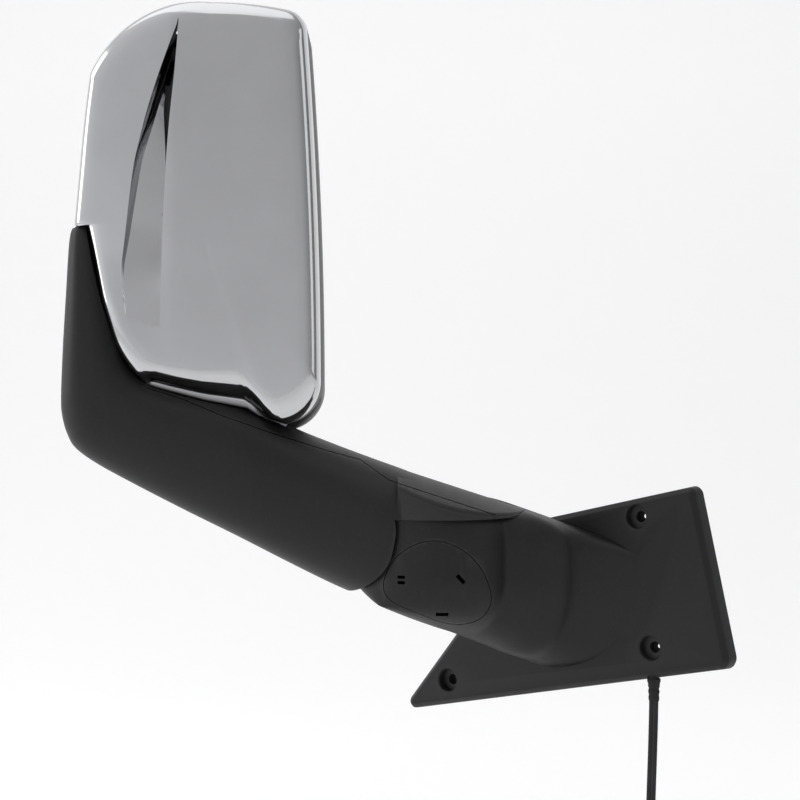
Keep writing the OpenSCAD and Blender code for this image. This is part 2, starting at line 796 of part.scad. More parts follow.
module glass_holder(c, corners, radii) {
    color("#1b1c1d") {
        in_arm() difference() {
            slab(rounded(inset(corners, -holder_rim), radii + [for (r = radii) holder_rim]),
                holder_y, glass_y + glass_t - 0.6);
            slab(rounded(inset(corners, -part_gap), radii), holder_y + holder_t, 60);
        }
        at_centre(c) {
            for (s = [-1, 1]) {
                translate([s > 0 ? 7.6 : -12.6, pivot_y - 4, -4]) cube([5, holder_y - pivot_y + 4, 8]);
                translate([s > 0 ? 12 : -ring_out, pivot_y, 0]) rotate([0, 90, 0])
                    cylinder(r = pin_r, h = ring_out - 12, $fn = small);
            }
            for (p = [[jack_arm, 0], [0, jack_arm]]) difference() {
                rod_y(p.x, p.y, cup_r + 2, pivot_y - 2, holder_y);
                translate([p.x, pivot_y, p.y]) sphere(r = cup_r, $fn = small);
                rod_y(p.x, p.y, cup_r - 0.3, pivot_y - 9, pivot_y);
            }
        }
    }
}

module heater_pad(corners, radii) {
    color("#b8862e") in_arm() slab(rounded(inset(corners, 4), radii), holder_y + holder_t, glass_y);
}

module main_actuator_case() { actuator_case(main_centre); }
module main_actuator_lid() { actuator_lid(main_centre); }
module main_motors() { motors(main_centre); }
module main_tilt_jack() { color("#c4c7ca") at_centre(main_centre) jack(0, jack_arm); }
module main_pan_jack() { color("#c4c7ca") at_centre(main_centre) jack(jack_arm, 0); }
module main_pivot_ring() { pivot_ring(main_centre); }
module main_glass_holder() { glass_holder(main_centre, main_corners, main_radii); }
module main_heater_pad() { heater_pad(main_corners, main_radii); }
module main_glass() {
    color("#dfe6ea") in_arm() slab(rounded(main_corners, main_radii), glass_y, glass_y + glass_t);
}

module convex_actuator_case() { actuator_case(convex_centre); }
module convex_actuator_lid() { actuator_lid(convex_centre); }
module convex_motors() { motors(convex_centre); }
module convex_tilt_jack() { color("#c4c7ca") at_centre(convex_centre) jack(0, jack_arm); }
module convex_pan_jack() { color("#c4c7ca") at_centre(convex_centre) jack(jack_arm, 0); }
module convex_pivot_ring() { pivot_ring(convex_centre); }
module convex_glass_holder() { glass_holder(convex_centre, convex_corners, convex_radii); }
module convex_heater_pad() { heater_pad(convex_corners, convex_radii); }

// Thin at its edge and domed to the rear
module convex_glass() {
    crown = glass_y + glass_t + 7;
    color("#dfe6ea") in_arm() skin() intersection() {
        slab(rounded(convex_corners, convex_radii), glass_y, crown + 1);
        translate([convex_centre.x, crown - convex_r, convex_centre.y]) sphere(r = convex_r, $fn = 360);
    }
}

// ---- leads ----

module head_terminal_block() {
    color("#e8e4d8") in_arm() translate([-197, frame_y, 300]) difference() {
        cube([26, 16, 44]);
        for (i = [0 : 3]) translate([12, 4, 3 + 10 * i]) cube([20, 8, 7]);
    }
}

module arm_lead() {
    color("#1a1a1a") in_arm() sweep(arm_route, lead_w / 2, lead_w / 2);
}

module base_lead() {
    color("#1a1a1a") sweep(base_route, lead_w / 2, lead_w / 2);
}

module cable_grommet() {
    color("#141414") translate([100, -13, -65]) difference() {
        cylinder(r = 7, h = 12, $fn = small);
        translate([-lead_w / 2, -lead_w / 4, -1]) cube([lead_w, lead_w / 2, 20]);
    }
}

module door_lead() {
    color("#1a1a1a") sweep(door_route, lead_w, lead_w / 2);
}

module coil_place() {
    translate(coil_centre) rotate([0, 90, 0]) children();
}

module door_lead_coil() {
    color("#1a1a1a") coil_place() rotate_extrude($fn = fine)
        translate([coil_mean_r - coil_t / 2, -coil_width / 2]) square([coil_t, coil_width]);
}

module coil_tie() {
    color("#0f0f10") coil_place() translate([0, -coil_mean_r, 0]) difference() {
        cube([tie_w, coil_t + 2 * tie_t, coil_width + 2 * tie_t], center = true);
        cube([2 * tie_w, coil_t, coil_width], center = true);
    }
}

module door_plug() {
    color("#17181a") translate(plug_top - [plug_size.x / 2, plug_size.y / 2, plug_size.z]) cube(plug_size);
}

base_cover();
base_bracket();
door_gasket();
access_cap();
base_cover_screws();
pivot_tube();
friction_washer();
spring_washer();
disc_springs();
pivot_nut();
arm_core();
pivot_bushes();
arm_front_cover();
arm_rear_cover();
arm_top_cover();
arm_cover_screws();
head_frame();
head_frame_bolts();
chrome_cover();
rear_housing();
housing_screws();
main_actuator_case();
main_actuator_lid();
main_motors();
main_tilt_jack();
main_pan_jack();
main_pivot_ring();
main_glass_holder();
main_heater_pad();
main_glass();
convex_actuator_case();
convex_actuator_lid();
convex_motors();
convex_tilt_jack();
convex_pan_jack();
convex_pivot_ring();
convex_glass_holder();
convex_heater_pad();
convex_glass();
head_terminal_block();
arm_lead();
base_lead();
cable_grommet();
door_lead();
door_lead_coil();
coil_tie();
door_plug();
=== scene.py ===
import bpy
import bmesh
import json
import numpy as np
from math import radians, cos, sin, pi
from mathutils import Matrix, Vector


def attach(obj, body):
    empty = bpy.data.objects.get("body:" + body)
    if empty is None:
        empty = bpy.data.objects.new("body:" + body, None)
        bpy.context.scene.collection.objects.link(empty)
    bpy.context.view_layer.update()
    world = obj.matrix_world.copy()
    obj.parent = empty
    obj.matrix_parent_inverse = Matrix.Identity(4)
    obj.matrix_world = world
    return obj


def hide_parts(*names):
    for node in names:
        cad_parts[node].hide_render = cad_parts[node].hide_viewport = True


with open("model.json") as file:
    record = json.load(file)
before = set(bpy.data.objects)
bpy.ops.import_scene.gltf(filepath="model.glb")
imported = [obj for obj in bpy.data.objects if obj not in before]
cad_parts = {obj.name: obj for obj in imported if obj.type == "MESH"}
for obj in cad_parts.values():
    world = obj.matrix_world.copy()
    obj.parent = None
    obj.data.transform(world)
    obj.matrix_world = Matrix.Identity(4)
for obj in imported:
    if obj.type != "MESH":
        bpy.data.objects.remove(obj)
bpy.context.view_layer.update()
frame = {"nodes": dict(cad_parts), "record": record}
print("stage: packed model loaded")

mm = 0.001
armTurn = radians(40)
foldBack, foldOut = 122.0, 125.0   # how far the arm's pivot is behind the origin and out from the door
foldAxis = np.array([-foldBack, -foldOut, 0.0])
seamHeight = 118.0
coverWall = 3.4


camera = {"place": (1.1027, -1.6489, 0.250), "lens": 76.5, "sensor": 36.0}

camData = bpy.data.cameras.new("studioCamera")
camData.lens = camera["lens"]
camData.sensor_width = camera["sensor"]
camData.clip_end = 50
camObject = bpy.data.objects.new("studioCamera", camData)
bpy.context.scene.collection.objects.link(camObject)
camObject.location = camera["place"]
lookAlong = Vector((-sin(armTurn), cos(armTurn), 0))
camObject.rotation_euler = lookAlong.to_track_quat("-Z", "Y").to_euler()
bpy.context.scene.camera = camObject


def fromArm(points):
    # turns points drawn along the arm into the door's frame: turn about Z, then shift to the pivot
    p = np.asarray(points, float)
    x = p[..., 0] * cos(armTurn) - p[..., 1] * sin(armTurn) + foldAxis[0]
    y = p[..., 0] * sin(armTurn) + p[..., 1] * cos(armTurn) + foldAxis[1]
    return np.stack([x, y, p[..., 2]], -1)


def curveThrough(points, count):
    # Catmull-Rom curve: each span is the cubic that passes its two points with the slope of their neighbours
    p = np.asarray(points, float)
    p = np.concatenate([2 * p[:1] - p[1:2], p, 2 * p[-1:] - p[-2:-1]])
    t = np.linspace(0, len(points) - 1, count)
    i = np.minimum(t.astype(int), len(points) - 2)
    f = (t - i).reshape((-1,) + (1,) * (p.ndim - 1))
    a, b, c, d = p[i], p[i + 1], p[i + 2], p[i + 3]
    return 0.5 * (2 * b + (c - a) * f + (2 * a - 5 * b + 4 * c - d) * f ** 2 + (3 * b - a - 3 * c + d) * f ** 3)


def aroundLoop(loop, count):
    # the same closed loop with an even number of points round it
    p = np.asarray(loop, float)
    p = np.concatenate([p, p[:1]])
    s = np.concatenate([[0], np.cumsum(np.linalg.norm(np.diff(p, axis=0), axis=1))])
    even = np.linspace(0, s[-1], count, endpoint=False)
    return np.stack([np.interp(even, s, p[:, k]) for k in range(p.shape[1])], -1)


def arcThrough(a, b, c, steps):
    # circle through three points, from a to c without the last point
    ax, ay, bx, by, cx, cy = *a, *b, *c
    d = 2 * (ax * (by - cy) + bx * (cy - ay) + cx * (ay - by))
    ux = ((ax ** 2 + ay ** 2) * (by - cy) + (bx ** 2 + by ** 2) * (cy - ay) + (cx ** 2 + cy ** 2) * (ay - by)) / d
    uy = ((ax ** 2 + ay ** 2) * (cx - bx) + (bx ** 2 + by ** 2) * (ax - cx) + (cx ** 2 + cy ** 2) * (bx - ax)) / d
    a0, a1 = np.arctan2(ay - uy, ax - ux), np.arctan2(cy - uy, cx - ux)
    sweep = (a1 - a0 + pi) % (2 * pi) - pi
    t = a0 + sweep * np.arange(steps) / steps
    return np.array([ux, uy]) + np.hypot(ax - ux, ay - uy) * np.stack([np.cos(t), np.sin(t)], -1)


def smoothStep(x, low, high):
    t = np.clip((np.asarray(x, float) - low) / (high - low), 0, 1)
    return t * t * (3 - 2 * t)


def powerWave(c, n):
    # cosine or sine of a superellipse: the sign of c times its size to the power 2/n
    return np.sign(c) * np.abs(c) ** (2.0 / n)


def newPiece(name, points, faces):
    mesh = bpy.data.meshes.new(name)
    mesh.from_pydata((np.asarray(points) * mm).tolist(), [], faces)
    mesh.update()
    piece = bpy.data.objects.new(name, mesh)
    bpy.context.scene.collection.objects.link(piece)
    return piece


def tidyMesh(piece, merge=0.00001):
    # merges doubles and turns every face outwards on a closed shell
    b = bmesh.new()
    b.from_mesh(piece.data)
    bmesh.ops.remove_doubles(b, verts=b.verts, dist=merge)
    bmesh.ops.recalc_face_normals(b, faces=b.faces)
    b.to_mesh(piece.data)
    b.free()
    return piece


def loftPiece(name, rings):
    # skin over closed rings: quads between ring j and j+1, one flat face at each end
    rings = np.asarray(rings, float)
    m, n = rings.shape[:2]
    j, i = np.meshgrid(np.arange(m - 1), np.arange(n), indexing="ij")
    nxt = (i + 1) % n
    quads = np.stack([j * n + i, j * n + nxt, (j + 1) * n + nxt, (j + 1) * n + i], -1).reshape(-1, 4)
    faces = quads.tolist() + [list(range(n))[::-1], [(m - 1) * n + k for k in range(n)]]
    return tidyMesh(newPiece(name, rings.reshape(-1, 3), faces))


def standUp(outline, depth):
    # a flat outline (along, height) set at a depth
    outline = np.asarray(outline, float)
    return np.stack([outline[..., 0], np.broadcast_to(depth, outline.shape[:-1]), outline[..., 1]], -1)


def prismPiece(name, outline, y0, y1, inArm=True):
    rings = np.stack([standUp(outline, y0), standUp(outline, y1)])
    return loftPiece(name, fromArm(rings) if inArm else rings)


def lathePiece(name, profile, centre, axis, turns=96):
    # profile (radius, distance along the axis) carried round an axis through centre
    profile = np.asarray(profile, float)
    a = np.linspace(0, 2 * pi, turns, endpoint=False)
    axis = np.asarray(axis, float) / np.linalg.norm(axis)
    side = np.cross(axis, [0, 0, 1.0]) if abs(axis[2]) < 0.9 else np.array([1.0, 0, 0])
    side = side / np.linalg.norm(side)
    up = np.cross(axis, side)
    circle = np.cos(a)[:, None] * side + np.sin(a)[:, None] * up
    rings = np.asarray(centre) + profile[:, 1, None, None] * axis + profile[:, 0, None, None] * circle
    return loftPiece(name, rings)


def combine(piece, others, operation):
    # joins or cuts closed shells and keeps the result as the piece's own mesh
    for other in others:
        for solver in ("MANIFOLD", "EXACT"):
            change = piece.modifiers.new("shape", "BOOLEAN")
            change.operation = operation
            change.solver = solver
            change.object = other
            done = piece.evaluated_get(bpy.context.evaluated_depsgraph_get())
            result = bpy.data.meshes.new_from_object(done)
            piece.modifiers.clear()
            if len(result.polygons) > 3:
                break
            print("  solver", solver, "left nothing on", piece.name, other.name)
        piece.data = result
        result.name = piece.name
    for other in others:
        bpy.data.objects.remove(other)
    return piece


def finishPiece(piece, material, body, nodes, sharp=32):
    b = bmesh.new()
    b.from_mesh(piece.data)
    bmesh.ops.remove_doubles(b, verts=b.verts, dist=0.000002)
    bmesh.ops.dissolve_degenerate(b, edges=b.edges, dist=0.000002)
    b.to_mesh(piece.data)
    b.free()
    piece.data.materials.clear()
    piece.data.materials.append(material)
    piece.data.shade_smooth()
    piece.data.set_sharp_from_angle(angle=radians(sharp))
    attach(piece, body)
    if nodes:
        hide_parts(*nodes)
    return piece


class Wire:
    # one socket; the usual signs on it add Math nodes
    def __init__(self, finish, socket):
        self.finish, self.socket = finish, socket

    def maths(self, operation, a, b):
        return self.finish.make("ShaderNodeMath", {"operation": operation}, {0: a, 1: b})

    def __add__(self, other): return self.maths("ADD", self, other)
    def __radd__(self, other): return self.maths("ADD", other, self)
    def __sub__(self, other): return self.maths("SUBTRACT", self, other)
    def __rsub__(self, other): return self.maths("SUBTRACT", other, self)
    def __mul__(self, other): return self.maths("MULTIPLY", self, other)
    def __rmul__(self, other): return self.maths("MULTIPLY", other, self)


class Finish:
    # a material with one surface shader, and one method that makes any other node
    def __init__(self, name, **fixed):
        self.material = bpy.data.materials.new(name)
        self.material.use_nodes = True
        self.tree = self.material.node_tree
        self.surface = self.tree.nodes["Principled BSDF"]
        for socket, value in fixed.items():
            self.surface.inputs[socket.replace("_", " ")].default_value = value

    def make(self, kind, settings=None, inputs=None, output=0):
        node = self.tree.nodes.new(kind)
        for key, value in (settings or {}).items():
            if key == "stops":
                ramp = node.color_ramp.elements
                while len(ramp) < len(value):
                    ramp.new(0.5)
                for element, (place, shade) in zip(ramp, value):
                    element.position = place
                    element.color = (shade, shade, shade, 1) if np.isscalar(shade) else (*shade, 1)
            else:
                setattr(node, key, value)
        for key, value in (inputs or {}).items():
            self.join(node.inputs[key], value)
        return Wire(self, node.outputs[output])

    def join(self, socket, value):
        if isinstance(value, Wire):
            self.tree.links.new(value.socket, socket)
        elif value is not None:
            socket.default_value = value

    def feed(self, **sockets):
        for name, value in sockets.items():
            self.join(self.surface.inputs[name.replace("_", " ")], value)
        return self.material

    def place(self):
        return self.make("ShaderNodeTexCoord", output="Object")

    def noise(self, scale, detail=3.0, roughness=0.55, where=None, stretch=None):
        where = where or self.place()
        if stretch:
            where = self.make("ShaderNodeMapping", {}, {"Vector": where, "Scale": stretch})
        return self.make("ShaderNodeTexNoise", {}, {"Vector": where, "Scale": scale, "Detail": detail,
                                                    "Roughness": roughness})

    def ramp(self, value, stops):
        return self.make("ShaderNodeValToRGB", {"stops": stops}, {"Fac": value})

    def blend(self, factor, a, b):
        return self.make("ShaderNodeMix", {"data_type": "RGBA"}, {0: factor, 6: a, 7: b}, output=2)

    def bump(self, height, strength, distance, under=None):
        return self.make("ShaderNodeBump", {}, {"Height": height, "Strength": strength, "Distance": distance,
                                                "Normal": under})

    def edges(self, low=0.52, high=0.60):
        return self.ramp(self.make("ShaderNodeNewGeometry", output="Pointiness"), [(low, 0.0), (high, 1.0)])


def mouldedPlastic(name, base, light, rough=0.52, grain=900, depth=0.00016, strength=0.5, edgeHighlightAmount=0.5):
    # spark-eroded mould texture: two scales of noise as bump, cloudy colour, and edges painted paler as a highlight
    f = Finish(name, Specular_IOR_Level=0.32)
    cloud = f.noise(9, 4)
    fleck = f.noise(grain * 0.35, 2)
    colour = f.blend(f.ramp(cloud, [(0.3, 0.0), (0.75, 1.0)]), (*base, 1), (*light, 1))
    colour = f.blend(f.ramp(fleck, [(0.55, 0.0), (0.8, 0.35)]), colour, (*[c * 1.9 for c in light], 1))
    # painted highlight: convex edges, found by pointiness, are blended towards a paler grey
    edgeHighlightColour = [min(1, c * 3.2 + 0.02) for c in light]
    colour = f.blend(f.edges() * edgeHighlightAmount, colour, (*edgeHighlightColour, 1))
    fine = f.noise(grain, 3, 0.6)
    coarse = f.noise(grain * 0.3, 2)
    normal = f.bump(fine * 0.65 + coarse * 0.35, strength, depth)
    return f.feed(Base_Color=colour, Roughness=cloud * 0.16 + fleck * 0.1 + (rough - 0.13), Normal=normal)


def chromePlate(name, base=(0.57, 0.575, 0.585), inner=(0.012, 0.012, 0.013)):
    # bright plating: faint ripple, hazy patches of fine dust, and painted shade that turns the deep slot near black and
    # non-metallic
    f = Finish(name, Specular_IOR_Level=0.5)
    haze = f.noise(7, 5, 0.6)
    smear = f.noise(26, 4, 0.6, stretch=(1.0, 1.0, 0.35))
    tone = f.blend(f.ramp(haze, [(0.35, 0.0), (0.7, 1.0)]), (*[c * 0.93 for c in base], 1), (*base, 1))
    spot = f.noise(700, 2)
    tone = f.blend(f.ramp(spot, [(0.7, 0.0), (0.78, 0.35)]), tone, (*[c * 0.6 for c in base], 1))
    where = f.make("ShaderNodeSeparateXYZ", {}, {"Vector": f.place()}, output="X")
    across = f.make("ShaderNodeSeparateXYZ", {}, {"Vector": f.place()}, output="Y")
    depth = (across - float(foldAxis[1] * mm)) * cos(armTurn) - (where - float(foldAxis[0] * mm)) * sin(armTurn)
    # painted shade: behind the panel's edge the slot gets the near-black inner colour instead of plating
    slotShadeMask = f.ramp((depth + 0.060) * 25.0, [(0.33, 0.0), (0.42, 1.0)])   # 0 in front of 46 mm, 1 behind 43 mm
    tone = f.blend(slotShadeMask, tone, (*inner, 1))
    normal = f.bump(f.noise(38, 3) * 0.8 + smear * 0.2, 0.16, 0.0006)
    return f.feed(Base_Color=tone, Metallic=1.0 - slotShadeMask * 0.9,
                  Roughness=haze * 0.07 + smear * 0.06 + slotShadeMask * 0.4 + 0.05, Normal=normal)


def machinedMetal(name, base, rough=0.34, scale=120, lines=(1, 1, 14), dull=0.75, depth=0.00006):
    # turned or rolled metal: fine lines one way, darker patches, and edges painted brighter as a highlight
    f = Finish(name, Metallic=1.0)
    patch = f.noise(22, 5, 0.6)
    line = f.noise(scale, 2, 0.5, stretch=lines)
    tone = f.blend(f.ramp(patch, [(0.35, 0.0), (0.7, 1.0)]), (*[c * dull for c in base], 1), (*base, 1))
    # painted highlight: convex edges, found by pointiness, are blended towards a brighter tone
    tone = f.blend(f.edges() * 0.6, tone, (*[min(1, c * 1.25) for c in base], 1))
    return f.feed(Base_Color=tone, Roughness=line * 0.22 + patch * 0.14 + (rough - 0.18),
                  Normal=f.bump(line, 0.35, depth))


def castMetal(name, base, rough=0.55, bare=1.0):
    # sand-cast or die-cast skin: pebbled bump, grey bloom, and edges painted paler as a highlight
    f = Finish(name, Metallic=bare)
    pebble = f.noise(420, 4, 0.65)
    bloom = f.noise(14, 5, 0.6)
    tone = f.blend(f.ramp(bloom, [(0.35, 0.0), (0.7, 1.0)]), (*[c * 0.7 for c in base], 1), (*base, 1))
    # painted highlight: convex edges, found by pointiness, are blended towards a paler tone
    tone = f.blend(f.edges() * 0.7, tone, (*[min(1, c * 1.3) for c in base], 1))
    return f.feed(Base_Color=tone, Roughness=pebble * 0.25 + bloom * 0.12 + (rough - 0.18),
                  Normal=f.bump(pebble, 0.5, 0.00025))


def softRubber(name, base, rough=0.7, scale=500, depth=0.00012, pores=False):
    # matt rubber or foam: pores as bump, dusty high spots
    f = Finish(name, Specular_IOR_Level=0.3)
    if pores:
        cell = f.make("ShaderNodeTexVoronoi", {}, {"Vector": f.place(), "Scale": scale})
    else:
        cell = f.noise(scale, 3, 0.6)
    dust = f.noise(18, 4)
    tone = f.blend(f.ramp(dust, [(0.4, 0.0), (0.8, 1.0)]), (*base, 1), (*[c * 2.1 + 0.004 for c in base], 1))
    return f.feed(Base_Color=tone, Roughness=dust * 0.2 + cell * 0.1 + (rough - 0.12),
                  Normal=f.bump(cell, 0.6, depth))


def mirrorGlass(name, base=(0.86, 0.88, 0.88)):
    # silvered glass: clear reflection with a faint film of dust and a dark painted edge
    f = Finish(name, Metallic=1.0, Coat_Weight=0.3)
    film = f.noise(16, 5, 0.6)
    speck = f.noise(420, 2)
    tone = f.blend(f.ramp(film, [(0.4, 0.0), (0.75, 1.0)]), (*base, 1), (*[c * 0.94 for c in base], 1))
    tone = f.blend(f.ramp(speck, [(0.74, 0.0), (0.8, 0.4)]), tone, (0.5, 0.5, 0.48, 1))
    tone = f.blend(f.edges(0.55, 0.62) * 0.8, tone, (0.12, 0.13, 0.13, 1))
    return f.feed(Base_Color=tone, Roughness=film * 0.035 + 0.012, Normal=f.bump(f.noise(5, 2), 0.02, 0.001))


def heaterFilm(name):
    # amber film with printed silver tracks: stripes from a wave over height
    f = Finish(name, Specular_IOR_Level=0.5)
    track = f.make("ShaderNodeTexWave", {"bands_direction": "Z"}, {"Vector": f.place(), "Scale": 26.0,
                                                                   "Distortion": 1.5, "Detail": 2.0})
    lines = f.ramp(track, [(0.78, 0.0), (0.86, 1.0)])
    cloud = f.noise(30, 3)
    tone = f.blend(f.ramp(cloud, [(0.3, 0.0), (0.8, 1.0)]), (0.42, 0.22, 0.05, 1), (0.55, 0.31, 0.08, 1))
    tone = f.blend(lines, tone, (0.62, 0.62, 0.6, 1))
    return f.feed(Base_Color=tone, Metallic=lines * 0.8, Roughness=cloud * 0.2 + 0.3,
                  Normal=f.bump(lines, 0.3, 0.0001))


finishes = {
    "cover_plastic": mouldedPlastic("coverGrain", (0.0062, 0.0063, 0.0068), (0.0102, 0.0104, 0.0112),
                                   0.5, 620, 0.0003, 0.7, 0.4),
    "frame_plastic": mouldedPlastic("framePlastic", (0.030, 0.031, 0.034), (0.043, 0.044, 0.048),
                                    0.5, 600),
    "housing_plastic": mouldedPlastic("housingPlastic", (0.030, 0.031, 0.033), (0.044, 0.045, 0.048),
                                      0.4, 700, 0.00006, 0.25, 0.4),
    "actuator_plastic": mouldedPlastic("actuatorPlastic", (0.012, 0.012, 0.014), (0.02, 0.02, 0.023),
                                       0.45, 800),
    "terminal_plastic": mouldedPlastic("terminalPlastic", (0.58, 0.55, 0.47), (0.7, 0.67, 0.58),
                                       0.5, 700, 0.00006, 0.3, 0.1),
    "plug_plastic": mouldedPlastic("plugPlastic", (0.014, 0.0145, 0.016), (0.022, 0.023, 0.026),
                                   0.42, 750, 0.0001),
    "chrome_skin": chromePlate("chromeSkin"),
    "casting": castMetal("castAlloy", (0.42, 0.43, 0.45)),
    "steel_tube": machinedMetal("tubeSteel", (0.52, 0.53, 0.55), 0.36),
    "spring_steel": machinedMetal("springSteel", (0.26, 0.27, 0.3), 0.42, 160, (1, 1, 6)),
    "zinc_screw": machinedMetal("zincScrew", (0.62, 0.63, 0.65), 0.38, 260, (1, 1, 1), 0.8),
    "bush_brass": machinedMetal("bushBrass", (0.66, 0.5, 0.24), 0.34, 200, (1, 1, 10)),
    "motor_steel": machinedMetal("motorSteel", (0.5, 0.51, 0.53), 0.3, 150, (1, 1, 8)),
    "jack_steel": machinedMetal("jackSteel", (0.58, 0.59, 0.6), 0.32, 600, (1, 6, 1)),
    "gasket_foam": softRubber("gasketFoam", (0.012, 0.012, 0.012), 0.85, 900, 0.0003, True),
    "lead_jacket": softRubber("leadJacket", (0.010, 0.010, 0.011), 0.5, 700, 0.00006),
    "grommet_rubber": softRubber("grommetRubber", (0.010, 0.010, 0.010), 0.66, 600, 0.0001),
    "heater_film": heaterFilm("heaterFilm"),
    "mirror_glass": mirrorGlass("mirrorGlass"),
}
slotOf = {row["node"]: row["material_slot"] for row in frame["record"]["subparts"]}
coatedCasting = castMetal("coatedCasting", (0.02, 0.02, 0.022), 0.55, 0.0)
for nodeName, node in frame["nodes"].items():
    finish = coatedCasting if nodeName == "base_bracket" else finishes[slotOf[nodeName]]
    if not node.data.materials:
        node.data.materials.append(finish)
    for k in range(len(node.material_slots)):
        node.material_slots[k].material = finish
print("stage: finishes on the carried-over parts")


lead = {"width": 11.2, "grommet": (100.0, -13.0), "coilCentre": (-77.0, -290.0), "coilRadius": 62.0,
        "coilStart": 96.0, "pitch": 12.0, "turns": 2, "plugTop": -322.6, "pointsPerTurn": 28}


def leadRoute():
    # straight down from the plate, round the coil beside itself, then straight down into the plug
    down = np.array([[100, -13, -58], [100, -13, -70], [99.8, -13.2, -95], [99.2, -13.6, -125],
                     [98.4, -14.2, -158], [97.4, -14.7, -192], [96.5, -15, -228], [96.05, -15, -262]])
    a = np.linspace(0, 2 * pi * lead["turns"], lead["pointsPerTurn"] * lead["turns"] + 1)
    yc, zc = lead["coilCentre"]
    coil = np.stack([lead["coilStart"] + lead["pitch"] * a / (2 * pi), yc + lead["coilRadius"] * np.cos(a),
                     zc - lead["coilRadius"] * np.sin(a)], -1)
    endX = coil[-1, 0]
    tail = np.array([[endX, -15, -300.0], [endX, -15, -311.0], [endX, -15, lead["plugTop"]]])
    return np.concatenate([down, coil, tail])


def twinSection(width, count=11):
    # two round cores side by side with a web between them
    r = width / 4
    a = np.radians(np.linspace(-112, 112, count))
    right = np.stack([r + r * np.cos(a), r * np.sin(a)], -1)
    left = -right
    return np.concatenate([right, [[0, 0.55 * r]], left, [[0, -0.55 * r]]])


leadPath = leadRoute()
finePath = curveThrough(leadPath, (len(leadPath) - 1) * 4 + 1)
tangent = np.gradient(finePath, axis=0)
tangent /= np.linalg.norm(tangent, axis=1)[:, None]
wideWay = np.array([1.0, 0, 0]) - tangent * tangent[:, :1]
wideWay /= np.linalg.norm(wideWay, axis=1)[:, None]
flatWay = np.cross(tangent, wideWay)
section = twinSection(lead["width"])
leadRings = finePath[:, None] + section[None, :, :1] * wideWay[:, None] + section[None, :, 1:] * flatWay[:, None]
doorLead = loftPiece("doorLead", leadRings)
finishPiece(doorLead, finishes["lead_jacket"], "base", ["door_lead", "door_lead_coil"], 60)


def roundedBox(width, depth, n=6, count=40):
    # superellipse outline of a moulded body
    a = np.linspace(0, 2 * pi, count, endpoint=False)
    return np.stack([width / 2 * powerWave(np.cos(a), n), depth / 2 * powerWave(np.sin(a), n)], -1)


plug = {"top": (120.0, -15.0, -326.6), "width": 24.0, "depth": 16.0, "long": 38.0}
# heights from the top and size at each: a collar, a waist with ribs, the body and a rounded mouth
plugSteps = np.array([[4, .42, .44], [0, .5, .52], [-.4, .55, .6], [-5, .58, .62], [-5.2, .8, .8], [-7, .84, .84],
                      [-7.4, .78, .78], [-9, .78, .78], [-9.4, .84, .84], [-11, .84, .84], [-11.4, .78, .78],
                      [-13, .78, .78], [-13.6, .96, .96], [-14.4, 1, 1], [-26, 1, 1], [-26.4, .95, .93],
                      [-27.6, .95, .93], [-28, 1, 1], [-36.6, 1, 1], [-37.6, .97, .96], [-38, .93, .9]])
plugRings = np.stack([np.concatenate([roundedBox(plug["width"] * w, plug["depth"] * d)
                                      + np.array(plug["top"][:2]), np.full((40, 1), plug["top"][2] + h)], 1)
                      for h, w, d in plugSteps])
leadPlug = loftPiece("leadPlug", plugRings)
mouth = np.stack([np.concatenate([roundedBox(19, 11, 7) + np.array(plug["top"][:2]),
                                  np.full((40, 1), z)], 1) for z in (-370.0, -352.0)])
combine(leadPlug, [loftPiece("mouthCut", mouth)], "DIFFERENCE")
finishPiece(leadPlug, finishes["plug_plastic"], "base", ["door_plug"], 30)

# tapered boot where the lead leaves the plate: round at the grommet, oval at its tip, three ribs
bootSteps = np.array([[-50, 6.6, 6.6], [-52, 7, 7], [-56, 7, 7], [-57, 6, 6], [-60, 6, 6], [-61, 7.6, 7.2],
                      [-64, 7.6, 7.2], [-66, 7, 5.6], [-70, 6.9, 5.2], [-71, 6.3, 4.4], [-73, 6.3, 4.3],
                      [-74, 6.8, 4.9], [-77, 6.7, 4.7], [-78, 6.2, 4.1], [-80, 6.2, 4.0], [-81, 6.6, 4.5],
                      [-84, 6.5, 4.3], [-86, 6.0, 3.5]])
turn = np.linspace(0, 2 * pi, 48, endpoint=False)
bootRings = np.stack([np.stack([100 + w * np.cos(turn), -13.05 + d * np.sin(turn), np.full(48, float(h))], -1)
                      for h, w, d in bootSteps])
leadBoot = loftPiece("leadBoot", bootRings)
finishPiece(leadBoot, finishes["grommet_rubber"], "base", ["cable_grommet"], 40)

# band of the tie: a six-sided strap carried round both runs of the coil
tieMid = np.array([108.0, -139.0, -290.0])
acrossTie = np.array([[-2.6, 0.0], [-2.2, 0.6], [2.2, 0.6], [2.6, 0.0], [2.2, -0.6], [-2.2, -0.6]])
loopMid = roundedBox(27.4, 9.0, 5, 72)
normalWay = loopMid / np.linalg.norm(loopMid, axis=1)[:, None]
ringSet = np.stack([np.stack([tieMid[0] + loopMid[:, 0] + t * normalWay[:, 0],
                              tieMid[1] + loopMid[:, 1] + t * normalWay[:, 1],
                              np.full(72, tieMid[2] + h)], -1) for h, t in acrossTie])
strap, along = np.meshgrid(np.arange(6), np.arange(72), indexing="ij")
nextStrap, nextAlong = (strap + 1) % 6, (along + 1) % 72
tieFaces = np.stack([strap * 72 + along, strap * 72 + nextAlong, nextStrap * 72 + nextAlong,
                     nextStrap * 72 + along], -1).reshape(-1, 4).tolist()
leadTie = tidyMesh(newPiece("leadTie", ringSet.reshape(-1, 3), tieFaces))
finishPiece(leadTie, finishes["plug_plastic"], "base", ["coil_tie"], 40)


base = {"corners": [[-266, -139], [-56, 110], [154, 157], [200, -40]], "radii": [9, 12, 9, 12],
        "front": 22.0, "gasket": 3.0, "barrel": 99.5, "bolts": [[100, -26], [-187, -92], [82, 119]],
        "recess": 13.5, "hubOpening": 62.0}


